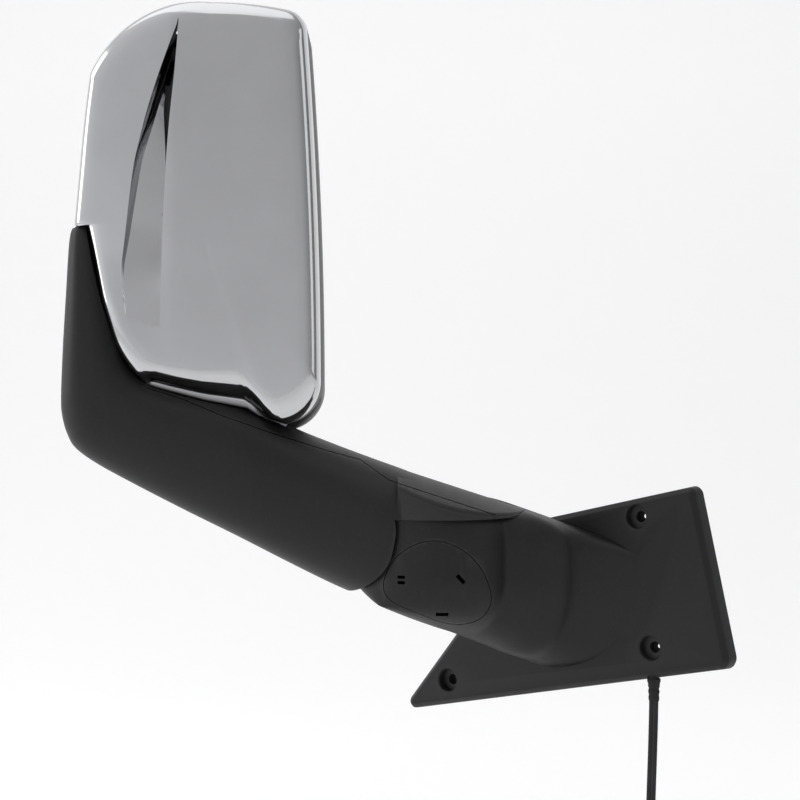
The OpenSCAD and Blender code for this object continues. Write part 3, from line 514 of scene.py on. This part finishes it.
def roundedCorners(corners, radii, steps=10):
    # replaces each corner with an arc of its radius that touches both neighbouring edges
    p = np.asarray(corners, float)
    out = []
    for k in range(len(p)):
        u, v = p[k - 1] - p[k], p[(k + 1) % len(p)] - p[k]
        u, v = u / np.linalg.norm(u), v / np.linalg.norm(v)
        half = np.arccos(np.clip(u @ v, -1, 1)) / 2
        c = p[k] + (u + v) / np.linalg.norm(u + v) * radii[k] / np.sin(half)
        s, e = p[k] + u * radii[k] / np.tan(half) - c, p[k] + v * radii[k] / np.tan(half) - c
        a0, a1 = np.arctan2(s[1], s[0]), np.arctan2(e[1], e[0])
        sweep = (a1 - a0 + pi) % (2 * pi) - pi
        a = a0 + sweep * np.linspace(0, 1, steps + 1)
        out.append(c + radii[k] * np.stack([np.cos(a), np.sin(a)], -1))
    return np.concatenate(out)


def insetCorners(corners, d):
    # moves each edge of a clockwise outline inwards by d
    p = np.asarray(corners, float)
    a = p - np.roll(p, 1, 0)
    b = np.roll(p, -1, 0) - p
    a /= np.linalg.norm(a, axis=1)[:, None]
    b /= np.linalg.norm(b, axis=1)[:, None]
    na, nb = np.stack([a[:, 1], -a[:, 0]], -1), np.stack([b[:, 1], -b[:, 0]], -1)
    k = na + nb
    k /= np.linalg.norm(k, axis=1)[:, None]
    return p + k * d / (k * na).sum(1)[:, None]


def earTop(x, y):
    return 157.5 - 0.325 * x - 0.0022 * y * y


def hornRing(out, t, count=112):
    # superellipse between the horn's edges; below a moving centre line it drops to the horn's underside
    past = max(0.0, out - foldOut)
    middle = 56   # height where the upper and lower halves meet
    half = np.sqrt(max(base["barrel"] ** 2 - past * past, 9))
    lefts, rights = [[70, -168], [120, -221.5]], [
        [18, 98], [24, 80], [32, 60], [42, 41.5], [56, 25], [72, 20], [90, 0], [125, -22.5]]
    window = out + np.linspace(-5, 5, 11) if out < 118 else np.array([out])
    lo = -foldBack - half if past > 0 else float(np.mean(np.interp(window, *np.transpose(lefts))))
    hi = -foldBack + half if past > 0 else float(np.mean(np.interp(window, *np.transpose(rights))))
    c, w = (lo + hi) / 2, (hi - lo) / 2 - t
    a = np.linspace(0, 2 * pi, count, endpoint=False)
    above = np.sin(a) > 0
    x = np.where(above, c + w * powerWave(np.cos(a), 5), c + w * powerWave(np.cos(a), 2.1))
    ax = (x + foldBack) * cos(armTurn) + (foldOut - out) * sin(armTurn)
    ay = (foldOut - out) * cos(armTurn) - (x + foldBack) * sin(armTurn)
    top = np.minimum(136, earTop(ax, 0) - 1) - t
    low = np.maximum(-9.5 - 0.407 * ax + 0.001 * np.minimum(ay, 0) ** 2, -60) + t
    z = np.where(above, middle + (top - middle) * powerWave(np.sin(a), 5),
                 middle + (middle - low) * powerWave(np.sin(a), 2.1))
    return np.stack([x, np.full(count, -float(out)), z], -1)


def hornSolid(name, t, low, high, count=72):
    # rings crowd together towards the rounded far end of the barrel
    f = np.linspace(0, 1, count)
    return loftPiece(name, [hornRing(low + (high - low) * (1 - (1 - k) ** 1.5), t) for k in f])


def plateSolid(name, t, back, front):
    # flat plate with a bevelled front edge, rounded where the bevel meets the face and the side
    rows = [(front, 7.6 + t), (front + 0.25, 6.6 + t), (front + 1.0, 5.7 + t), (front + 4.3, 2.1 + t),
            (front + 5.4, 1.3 + t), (front + 7, 1.0 + t), (back, 0.2 + t)]
    return loftPiece(name, [standUp(roundedCorners(insetCorners(base["corners"], k),
                                                   [max(2, r - k) for r in base["radii"]]), y) for y, k in rows])


def capOutline(g):
    # egg-shaped cap over the pivot, drawn in by g towards its middle
    edge = np.concatenate([arcThrough([-61, 42], [-40, 83], [-2, 97], 40), arcThrough([-2, 97], [35, 80], [57, 44], 40),
                           arcThrough([57, 44], [58, 18], [42, 3], 30), arcThrough([42, 3], [24, 0], [1, 5], 16),
                           [[1, 5]], arcThrough([-45, 25], [-56, 32], [-61, 42], 16)])
    edge = aroundLoop(edge, 200)
    for _ in range(30):
        edge = (np.roll(edge, 1, 0) + 2 * edge + np.roll(edge, -1, 0)) / 4
    middle = np.array([-2.0, 50.0])
    return middle + (edge - middle) * (1 - g / 52)


def boltCut(name, p, grow, y0, y1, flare=0.0):
    # hole over a bolt, with a flared mouth at the plate's face where flare is given
    r = base["recess"] + grow
    profile = [(r, y0), (r, y1)]
    if flare:
        profile = [(r + flare, y0), (r + flare, -base["front"] - 0.02), (r, -base["front"] + flare), (r, y1)]
    return lathePiece(name, profile, (p[0], 0, p[1]), (0, 1, 0), 72)


def boxPiece(name, low, high, inArm=False):
    outline = np.array([[low[0], low[2]], [low[0], high[2]], [high[0], high[2]], [high[0], low[2]]], float)
    return prismPiece(name, outline, low[1], high[1], inArm)


baseShell = hornSolid("baseShell", 0, 18, 223.9)
combine(baseShell, [plateSolid("plateSkin", 0, -base["gasket"], -base["front"])]
        + [boltCut("boss", p, 2.5, -base["front"] + 3, -11) for p in base["bolts"]], "UNION")
hollow = hornSolid("hollow", coverWall, base["front"] + 0.6, 221.0)
behind = loftPiece("behind", [hornRing(10, coverWall), hornRing(32, coverWall)])
combine(behind, [prismPiece("plateLimit", roundedCorners(insetCorners(base["corners"], coverWall + 1),
                                                         base["radii"]), -31, 0, False)], "INTERSECT")
combine(hollow, [behind, plateSolid("plateHollow", coverWall, -base["gasket"] + 1, -base["front"] + coverWall)],
        "UNION")
capHollow = hollow.copy()
capHollow.data = hollow.data.copy()
bpy.context.scene.collection.objects.link(capHollow)
combine(hollow, [boltCut("bossKeep", p, 2.5, -base["front"], -11) for p in base["bolts"]], "DIFFERENCE")
capShell = hornSolid("capShell", 0, 18, 223.9)
barrelAxis = (foldAxis[0], foldAxis[1], 0)
combine(baseShell, [
    hollow,
    lathePiece("aboveSeam", [(base["barrel"] + 2.3, seamHeight), (base["barrel"] + 2.3, 180)],
               barrelAxis, (0, 0, 1), 192),
    lathePiece("hubHole", [(base["hubOpening"], 60), (base["hubOpening"], 170)], barrelAxis, (0, 0, 1), 128),
    boxPiece("doorSide", (-280, -base["gasket"], -160), (260, 40, 200)),
    prismPiece("capHole", capOutline(-0.25), -130, 0),
    lathePiece("leadHole", [(7.0, -80), (7.0, -44)], (100, -13, 0), (0, 0, 1), 48)]
    + [boltCut("recess", p, 0, -60, 0, 1.2) for p in base["bolts"]], "DIFFERENCE")
finishPiece(baseShell, finishes["cover_plastic"], "base", ["base_cover"], 34)

combine(capShell, [prismPiece("capLimit", capOutline(0.55), -130, 0)], "INTERSECT")
slotTurn = radians(-42)
slant = np.array([[-2.2, -6], [-2.2, 6], [2.2, 6], [2.2, -6]])
slant = np.stack([25 + slant[:, 0] * cos(slotTurn) + slant[:, 1] * sin(slotTurn),
                  54 - slant[:, 0] * sin(slotTurn) + slant[:, 1] * cos(slotTurn)], -1)
combine(capShell, [capHollow, boxPiece("slotA", (-44, -130, 48), (-36, -70, 51.5), True),
                   boxPiece("slotB", (-44, -130, 54), (-36, -70, 57.5), True),
                   prismPiece("slotC", slant, -130, -70),
                   boxPiece("slotD", (-2, -130, 12), (12, -70, 16), True)], "DIFFERENCE")
finishPiece(capShell, finishes["cover_plastic"], "base", ["access_cap"], 34)
foam = prismPiece("foamGasket", roundedCorners(insetCorners(base["corners"], 1), base["radii"]), -2.95, 0, False)
foamHoles = [lathePiece("boltSlit", [(2.4, -20), (2.4, 5)], (p[0], 0, p[1]), (0, 1, 0), 32) for p in base["bolts"]]
foamHoles += [lathePiece("screwHole", [(6.0, -20), (6.0, 5)], (x, 0, z), (0, 1, 0), 32)
              for x, z in ((130, 60), (-120, -62), (20, -40), (0, 90))]
combine(foam, foamHoles, "DIFFERENCE")
finishPiece(foam, finishes["gasket_foam"], "base", ["door_gasket"], 40)
print("stage: base")


arm = {"stations": [[26, -24, 40, 143.5, 86], [-28, 0, -14, 161, 93], [-83, 25, -40, 171, 91], [-122, 42, -76, 184, 84],
                    [-171, 66, -116, 199, 77], [-226, 94, -165, 219, 72], [-289, 125, -220, 247, 67],
                    [-351, 157, -285, 263, 64], [-389, 178, -325, 277, 62], [-411, 194, -341, 291, 61],
                    [-420, 208, -348, 304, 60], [-426, 227, -352, 318, 59], [-428, 249, -356, 331, 58],
                    [-426, 304, -362, 352, 57], [-422, 370, -372, 386, 55], [-418, 430, -380, 428, 51],
                    [-413, 447, -389, 448, 44], [-407, 455, -398, 455, 30]],
       "gap": 0.4, "knuckleGap": 4.5, "crown": 1.2, "squareness": 2.7}
cradleEdge = [[-201, 232], [-213, 240], [-261, 249], [-310, 262], [-326, 268], [-343, 284], [-358, 308],
              [-369, 339], [-377, 364], [-386, 403], [-390, 424], [-394, 444], [-398, 452], [-407, 444]]
stripEdge = [[-326, 264], [-285, 251], [-238, 232], [-187, 214], [-122, 193], [-86, 183], [-53, 161], [64, 123]]


def armRing(s, t, count=104):
    # superellipse across the arm: wider at the crown, thicker by the crown's extra wall on top
    a, b = np.array([s[0], 0, s[1]]), np.array([s[2], 0, s[3]])
    up = (b - a) / np.linalg.norm(b - a)
    mid = (a + b) / 2 - up * t * arm["crown"] / 2
    h = np.linalg.norm(b - a) / 2 - t * (1 + arm["crown"] / 2)
    w = np.linspace(0, 2 * pi, count, endpoint=False)
    c, e = powerWave(np.cos(w), arm["squareness"]), powerWave(np.sin(w), arm["squareness"])
    return mid + h * c[:, None] * up + ((s[4] - t) * e * (1 + 0.08 * c))[:, None] * np.array([0, 1.0, 0])


def earRing(x, r, t, count=48):
    # half-round top over the pivot between two straight sides
    e = np.sqrt(max(r * r - x * x, 4)) - t
    floor = seamHeight + arm["gap"] + (t if t > 0 else -2)
    a = np.linspace(0, pi, count)
    y = e * np.cos(a)
    drop = 3 * smoothStep(np.abs(np.cos(a)), 0.93, 1.0)
    z = np.maximum(earTop(x, y) - t - drop, floor + 1)
    top = np.stack([np.full(count, x), y, z], -1)
    return np.concatenate([[[x, -e, floor], [x, e, floor]], top])


def armSolid(name, t):
    stations = curveThrough(arm["stations"], 170)
    body = loftPiece(name, fromArm([armRing(s, t) for s in stations]))
    low, high = (-44, 100.2) if t == 0 else (-39.3, 91.8)
    ears = loftPiece("ears", fromArm([earRing(x, 101, t) for x in np.linspace(low, high, 60)]))
    return combine(body, [ears], "UNION")


def headPrism(grow):
    edge = [[p[0] - 0.7 * grow, p[1] - 0.7 * grow] for p in cradleEdge]
    edge = np.concatenate([edge[:1], curveThrough(edge[1:-1], 60), edge[-1:]])
    outline = np.concatenate([[[-100, 222 - grow], [-172, 222 - grow]], edge,
                              [[-430, 444], [-430, 720], [-100, 720]]])
    return prismPiece("headPrism", outline, -100, 100)


def postCuts():
    cuts = [boxPiece("postCut", (x - 14, -29, top - 140), (x + 14, 3, top + 2), True)
            for x, top in ((-184, 292), (-316, 326))]
    hole = lathePiece("leadWay", [(4.5, 200), (4.5, 266)], fromArm([-206, 7, 0]), (0, 0, 1), 32)
    return cuts + [hole]


def stripRegion(grow):
    # the top strip's side: its lower edge moved down by grow
    edge = [[p[0], p[1] - grow] for p in stripEdge]
    outline = np.concatenate([edge, [[64 - grow, seamHeight - 5], [110, seamHeight - 5],
                                     [110, 320], [-326, 320]]])
    return prismPiece("stripRegion", outline, -110, 110)


armSkin = armSolid("armSkin", 0)
combine(armSkin, [armSolid("armHollow", coverWall),
                  lathePiece("barrelClear", [(base["barrel"] + arm["knuckleGap"], -100),
                                             (base["barrel"] + arm["knuckleGap"], seamHeight + arm["gap"])],
                             barrelAxis, (0, 0, 1), 192),
                  lathePiece("hubClear", [(base["hubOpening"], 0),
                                          (base["hubOpening"], seamHeight + arm["gap"] + 2 * coverWall)],
                             barrelAxis, (0, 0, 1), 128),
                  headPrism(arm["gap"])] + postCuts(), "DIFFERENCE")
seam = 0.45   # half the open seam between two covers


def armPart(name, cutters, operation="DIFFERENCE"):
    part = armSkin.copy()
    part.data = armSkin.data.copy()
    part.name = name
    bpy.context.scene.collection.objects.link(part)
    return combine(part, cutters, operation)


screwPlaces = [(-150, 146), (-300, 199), (-399, 330)]
screwEnds = [75.4, 63.6, 54]
armFront = armPart("armFront", [stripRegion(seam),
                                boxPiece("rearHalf", (-500, -seam / 2, -100), (200, 200, 600), True)])
armRear = armPart("armRear", [stripRegion(seam),
                              boxPiece("frontHalf", (-500, -200, -100), (200, seam / 2, 600), True)]
                  + [lathePiece("screwWay", [(3.2, 0), (3.2, 70)], fromArm([x, 20, z]),
                                (-sin(armTurn), cos(armTurn), 0), 32) for x, z in screwPlaces])
armTop = armPart("armTop", [stripRegion(-seam)], "INTERSECT")
for piece, nodeName in ((armFront, "arm_front_cover"), (armRear, "arm_rear_cover"), (armTop, "arm_top_cover")):
    finishPiece(piece, finishes["cover_plastic"], "arm", [nodeName], 34)
bpy.data.objects.remove(armSkin)
print("stage: arm")


head = {"centre": (-265.0, 452.0), "front": 72.0, "joint": 12.0, "rear": 62.0, "points": 420}


def headOutline(low=0.0):
    cradle = curveThrough(cradleEdge[2:-1], 90)
    loop = np.concatenate([
        arcThrough([-391, 619], [-336, 679], [-251, 697], 60), arcThrough([-251, 697], [-207, 695], [-168, 689], 24),
        arcThrough([-168, 689], [-151, 679], [-145, 662], 24), arcThrough([-145, 662], [-134, 468], [-130, 274], 60),
        arcThrough([-130, 274 - low], [-137, 245 - low], [-172, 222 - low], 36),
        [[-201, 232], [-213, 240]], cradle, [[-407, 444], [-409, 449]],
        arcThrough([-402, 525], [-396, 582], [-391, 619], 24)])
    # drawn in a little, because the arcs bulge past the points they pass through
    return shrunk(aroundLoop(loop, head["points"]), 0.0014)


def shrunk(outline, k):
    c = np.array(head["centre"])
    return c + (outline - c) * (1 - np.asarray(k))


outline = headOutline()
sideShrink = np.array([0, .0025, .006, .0105, .017, .028, .042, .056, .075, .096, .12, .17, .26, .4, .6, .8, .97])
sideDepth = np.array([30, 24.5, 20, 16, 12.3, 8.6, 6.2, 4.5, 3.0, 2.0, 1.4, .9, .6, .35, .2, .08, 0])
lipShrink = np.array([0, .004, .012, .034, .044, .056, .078, .1, .118, .135, .155, .2, .28, .4, .55, .65, .74])
lipDepth = np.array([30, 28.2, 27.4, 26.2, 24.5, 20.5, 13.2, 6.6, 3.4, 1.8, 1.2, .9, .6, .35, .2, .08, 0])


def faceRings(extra, wall):
    # rings from the joint forward, then inwards over the front: the lower edge has a rolled lip, the rest a soft bevel
    lip = (smoothStep(-outline[:, 1], -292, -268) * smoothStep(-outline[:, 0], 178, 205)
           * smoothStep(outline[:, 0], -338, -318))
    widen = 0.85 + 0.45 * smoothStep(outline[:, 0], -320, -190)
    fine = np.linspace(0, len(sideShrink) - 1, 90)
    index = np.arange(len(sideShrink))
    rings = [standUp(shrunk(outline, extra), head["joint"] + (1 if wall else 0)),
             standUp(shrunk(outline, extra), -20.0)]
    for f in fine:
        k = np.interp(f, index, sideShrink) * (1 - lip) + np.interp(f, index, lipShrink) * lip * widen
        d = np.interp(f, index, sideDepth) * (1 - lip) + np.interp(f, index, lipDepth) * lip
        flat = shrunk(outline, (k + (1 - k) * extra)[:, None])
        lean = 0.13 * np.maximum(0, -296 - flat[:, 0]) * smoothStep(flat[:, 1], 290, 420)
        rings.append(standUp(flat, -head["front"] + wall + d + lean))
    return np.stack(rings)


def soften(rings, passes):
    # averages each ring with its neighbours so the profile's corners turn smoothly
    for _ in range(passes):
        rings[3:-1] = (rings[2:-2] + 2 * rings[3:-1] + rings[4:]) / 4
    return rings


channel = {"height": [292, 313, 330, 350, 397, 434, 473, 501, 523, 562, 581, 612, 649, 668, 674],
           "bandLeft": [-349, -356.2, -357.4, -357.9, -356.2, -351.6, -349, -346, -342.3, -333, -327, -314.4,
                        -297.5, -290.5, -287.8],
           "crease": [-339, -344.5, -345.2, -346, -350, -344, -338, -333.4, -329, -316.7, -311, -301.4,
                      -291, -287.6, -286.9],
           "slotLeft": [-308, -308, -308, -307.8, -306.4, -305.6, -304.6, -304.3, -304.4, -306.0, -306.8, -300.6,
                        -290.4, -287.5, -286.8],
           "panel": [-307.5, -307.5, -307.5, -307.5, -306, -305, -303.2, -301.4, -300.3, -297, -295, -291.6,
                     -288.4, -287, -286.5]}


def channelSolid(name, grow):
    # section at each height: soft band, crease, sloping floor, narrow slot, and the panel's crisp edge
    h = np.linspace(293, 673, 150)
    left, crease, slot, panel = (np.interp(h, channel["height"], channel[key])
                                 for key in ("bandLeft", "crease", "slotLeft", "panel"))
    kernel = np.ones(9) / 9
    left, crease, slot, panel = (np.convolve(np.pad(v, 4, mode="edge"), kernel, "valid")
                                 for v in (left, crease, slot, panel))
    crease = np.maximum(crease, left + 0.6)
    slot = np.clip(slot, crease + 0.4, panel - 0.5)
    fade = smoothStep(h, 293, 450) * (0.25 + 0.75 * smoothStep(-h, -673, -640))
    floorRise = smoothStep(-h, -410, -325)
    deep = smoothStep(h, 455, 520) * smoothStep(-h, -660, -630)
    creaseDepth = -74.5 + 23.5 * fade
    floorDepth = -47.5 * (1 - floorRise) - 73.5 * floorRise
    floorDepth = creaseDepth * (1 - fade) + floorDepth * fade
    slotDepth = floorDepth + 6.8 * deep
    t = np.linspace(0, 1, 12)
    bandX = left[:, None] + (crease - left)[:, None] * t
    bandY = -73.6 + (creaseDepth + 73.6)[:, None] * t ** 1.9
    f = np.linspace(0, 1, 7)[1:]
    floorX = crease[:, None] + (slot - crease)[:, None] * f
    floorY = creaseDepth[:, None] + (floorDepth - creaseDepth)[:, None] * f
    ones = np.ones((len(h), 1))
    x = np.concatenate([left[:, None] - 0.01, bandX, floorX, (slot + 0.15)[:, None], (panel + 0.9 * deep)[:, None],
                        (panel + 0.5)[:, None], panel[:, None], panel[:, None]], 1)
    y = np.concatenate([-96 * ones, bandY, floorY, slotDepth[:, None], slotDepth[:, None] - 0.05, -64 * ones,
                        -68 * ones, -96 * ones], 1)
    y[:, -3] = np.minimum(y[:, -3], slotDepth - 0.1)
    y[:, -2] = np.minimum(y[:, -2], slotDepth - 0.2)
    if grow:
        middle = (left + panel)[:, None] / 2
        x = x + np.sign(x - middle) * grow
        y = y + grow
        h = 483 + (h - 483) * 1.012
    return loftPiece(name, fromArm(np.stack([x, y, np.repeat(h[:, None], x.shape[1], 1)], -1)))


chromeShell = loftPiece("chromeShell", fromArm(soften(faceRings(0.0, 0.0), 2)))
chromeHollow = loftPiece("chromeHollow", fromArm(soften(faceRings(0.018, coverWall), 2)))
combine(chromeHollow, [channelSolid("channelWall", 2.2)], "DIFFERENCE")
combine(chromeShell, [channelSolid("channelCut", 0.0), chromeHollow] + postCuts(), "DIFFERENCE")
finishPiece(chromeShell, finishes["chrome_skin"], "arm", ["chrome_cover"], 30)

rearLow, rearLower = headOutline(7), headOutline(8)
housingShell = loftPiece("housingShell", fromArm(np.stack([
    standUp(shrunk(outline, 0.003), head["joint"] + 0.3), standUp(outline, head["joint"] + 0.9),
    standUp(rearLow, head["joint"] + 14), standUp(rearLower, head["rear"] - 8),
    standUp(shrunk(rearLower, 0.001), head["rear"] - 5), standUp(shrunk(rearLower, 0.004), head["rear"] - 2),
    standUp(shrunk(rearLower, 0.008), head["rear"] - 0.5), standUp(shrunk(rearLower, 0.011), head["rear"])])))
housingHollow = loftPiece("housingHollow", fromArm(np.stack([
    standUp(shrunk(outline, 0.022), head["joint"] - 1), standUp(shrunk(rearLow, 0.022), head["joint"] + 14),
    standUp(shrunk(rearLow, 0.022), head["rear"] - 4), standUp(shrunk(rearLow, 0.018), head["rear"] + 1)])))
combine(housingHollow, [boxPiece("divider", (-402, 0, 385), (-100, head["rear"] - 4, 392), True)], "DIFFERENCE")
combine(housingShell, [housingHollow] + postCuts(), "DIFFERENCE")
finishPiece(housingShell, finishes["housing_plastic"], "arm", ["rear_housing"], 34)
print("stage: head")


glasses = {"main": {"corners": [[-371, 398], [-386, 500], [-379, 612], [-330, 667], [-255, 685],
                                [-162, 678], [-146, 398]],
                    "radii": [12, 60, 26, 60, 80, 20, 12], "centre": (-268, 540), "radius": 0},
           "convex": {"corners": [[-364, 377], [-350, 318], [-320, 283], [-262, 266], [-192, 247],
                                  [-150, 262], [-144, 377]],
                      "radii": [10, 40, 30, 60, 40, 22, 10], "centre": (-250, 322), "radius": 900}}
glassBack, glassThick, holderBack, holderThick = 31.8, 3.0, 27.0, 4.0


def glassRings(spec):
    # flat back, ground edge with small chamfers, then a face that follows a sphere where the glass is convex
    loop = aroundLoop(roundedCorners(spec["corners"], spec["radii"], 14), 240)
    centre = np.array(spec["centre"], float)
    bulge = spec["radius"]

    def face(points):
        if not bulge:
            return np.full(len(points), glassBack + glassThick)
        reach = ((points - centre) ** 2).sum(1)
        return glassBack + glassThick + 7 - (bulge - np.sqrt(bulge ** 2 - reach))

    inner = centre + (loop - centre) * 0.995
    rings = [standUp(inner, glassBack), standUp(loop, glassBack + 0.5), standUp(loop, face(loop) - 0.6)]
    for k in (0.995, 0.985, 0.95, 0.9, 0.8, 0.7, 0.55, 0.4, 0.25, 0.1, 0.02):
        points = centre + (loop - centre) * k
        rings.append(standUp(points, face(points)))
    return np.stack(rings)


for key, bodyName in (("main", "main_mirror"), ("convex", "convex_mirror")):
    spec = glasses[key]
    glass = loftPiece(key + "Glass", fromArm(glassRings(spec)))
    finishPiece(glass, finishes["mirror_glass"], bodyName, [key + "_glass"], 30)
    outer = aroundLoop(roundedCorners(insetCorners(spec["corners"], -3), [r + 3 for r in spec["radii"]], 14), 240)
    mid = np.array(spec["centre"], float)
    rim = glassBack + glassThick - 0.6
    holder = loftPiece(key + "Holder", fromArm(np.stack([
        standUp(mid + (outer - mid) * 0.99, holderBack), standUp(outer, holderBack + 1.2), standUp(outer, rim - 1.0),
        standUp(mid + (outer - mid) * 0.996, rim - 0.2), standUp(mid + (outer - mid) * 0.99, rim)])))
    recess = roundedCorners(insetCorners(spec["corners"], -0.4), spec["radii"], 14)
    combine(holder, [prismPiece("recess", recess, holderBack + holderThick, 60)], "DIFFERENCE")
    mounts = []
    for s in (-1, 1):
        x0 = mid[0] + (7.6 if s > 0 else -12.6)
        mounts.append(boxPiece("hingeArm", (x0, 8, mid[1] - 4), (x0 + 5, holderBack + 1, mid[1] + 4), True))
        x1 = mid[0] + (12.0 if s > 0 else -20.0)
        mounts.append(lathePiece("hingePin", [(3.0, 0), (3.0, 8)], fromArm([x1, 12, mid[1]]),
                                 (cos(armTurn), sin(armTurn), 0), 32))
    for dx, dz in ((38, 0), (0, 38)):
        cup = lathePiece("jackCup", [(6.2, 10), (7.2, 11), (7.2, 24), (9.0, holderBack + 1)],
                         fromArm([mid[0] + dx, 0, mid[1] + dz]), (-sin(armTurn), cos(armTurn), 0), 40)
        bowl = [(4.9, 9), (4.9, 11), (5.2, 12), (4.9, 14), (3.6, 16), (1.0, 17.2)]
        combine(cup, [lathePiece("cupBowl", bowl, fromArm([mid[0] + dx, 0, mid[1] + dz]),
                                 (-sin(armTurn), cos(armTurn), 0), 40)], "DIFFERENCE")
        mounts.append(cup)
    combine(holder, mounts, "UNION")
    finishPiece(holder, finishes["actuator_plastic"], bodyName,
                [key + "_glass_holder"], 34)
print("stage: glasses")


studio = {"floor": -0.372, "paper": (0.86, 0.86, 0.86), "glow": 0.24}


def sweepProfile(steps=40):
    # paper backdrop: flat floor, a quarter-round rise behind, then an upright wall
    a = np.linspace(0, pi / 2, steps)
    radius = 1.6
    far = 1.5
    floor = np.array([[-6.0, 0.0]])
    curve = np.stack([far + radius * np.sin(a), radius - radius * np.cos(a)], -1)
    wall = np.array([[far + radius, 7.0]])
    return np.concatenate([floor, curve, wall])


profile = sweepProfile()
away = np.array([-sin(armTurn), cos(armTurn)])
side = np.array([cos(armTurn), sin(armTurn)])
points = []
for s in (-7.0, 7.0):
    flat = away * profile[:, :1] + side * s + np.array([-0.25, -0.25])
    points.append(np.concatenate([flat, profile[:, 1:] + studio["floor"]], 1))
sheetPoints = np.concatenate(points) / mm
count = len(profile)
backdrop = newPiece("backdrop", sheetPoints, [[k, k + 1, count + k + 1, count + k] for k in range(count - 1)])
backdrop.data.shade_smooth()
paper = Finish("backdropPaper", Roughness=0.95, Specular_IOR_Level=0.1, Emission_Strength=studio["glow"])
fibre = paper.noise(60, 4)
shade = paper.blend(paper.ramp(fibre, [(0.3, 0.0), (0.7, 1.0)]), (*[c * 0.99 for c in studio["paper"]], 1),
                    (*studio["paper"], 1))
backdrop.data.materials.append(paper.feed(Base_Color=shade, Emission_Color=(1, 1, 1, 1)))

world = bpy.data.worlds.new("studioWorld")
bpy.context.scene.world = world
world.use_nodes = True
sky = world.node_tree
ground = sky.nodes["Background"]
ground.inputs["Strength"].default_value = 1.0
direction = sky.nodes.new("ShaderNodeTexCoord")
leftward = sky.nodes.new("ShaderNodeVectorMath")
leftward.operation = "DOT_PRODUCT"
leftward.inputs[1].default_value = (-cos(armTurn), -sin(armTurn), 0)
leftGain = sky.nodes.new("ShaderNodeMath")
leftGain.operation = "MULTIPLY_ADD"
leftGain.inputs[1].default_value = 0.55
leftGain.inputs[2].default_value = 1.0
sky.links.new(direction.outputs["Generated"], leftward.inputs[0])
sky.links.new(leftward.outputs["Value"], leftGain.inputs[0])
sky.links.new(leftGain.outputs[0], ground.inputs["Strength"])
split = sky.nodes.new("ShaderNodeSeparateXYZ")
tone = sky.nodes.new("ShaderNodeValToRGB")
# greys from straight down, through level at a half, to straight up
skyTones = [(0.0, 0.70), (0.44, 0.72), (0.58, 0.54), (0.8, 0.58), (1.0, 0.75)]
while len(tone.color_ramp.elements) < len(skyTones):
    tone.color_ramp.elements.new(0.5)
for element, (place, value) in zip(tone.color_ramp.elements, skyTones):
    element.position = place
    element.color = (value, value, value * 1.02, 1)
lift = sky.nodes.new("ShaderNodeMath")
lift.operation = "MULTIPLY_ADD"
lift.inputs[1].default_value = 0.5
lift.inputs[2].default_value = 0.5
sky.links.new(direction.outputs["Generated"], split.inputs[0])
sky.links.new(split.outputs["Z"], lift.inputs[0])
sky.links.new(lift.outputs[0], tone.inputs["Fac"])
sky.links.new(tone.outputs["Color"], ground.inputs["Color"])


def softLight(name, place, target, size, power, tint=(1, 1, 1)):
    data = bpy.data.lights.new(name, "AREA")
    data.shape = "RECTANGLE"
    data.size, data.size_y = size
    data.energy = power
    data.color = tint
    lamp = bpy.data.objects.new(name, data)
    bpy.context.scene.collection.objects.link(lamp)
    lamp.location = place
    lamp.rotation_euler = (Vector(target) - Vector(place)).to_track_quat("-Z", "Y").to_euler()
    return lamp


lookAt = (-0.2, -0.25, 0.2)
softLight("topBank", (-0.3, -0.6, 2.3), lookAt, (2.4, 1.6), 9)
softLight("leftBank", (-2.2, -1.6, 1.1), lookAt, (1.2, 2.0), 16)
softLight("rightBank", (2.2, 0.6, 1.2), lookAt, (1.2, 2.0), 6)
print("stage: studio")

bpy.context.scene.view_settings.view_transform = "Standard"
bpy.context.scene.view_settings.look = "None"
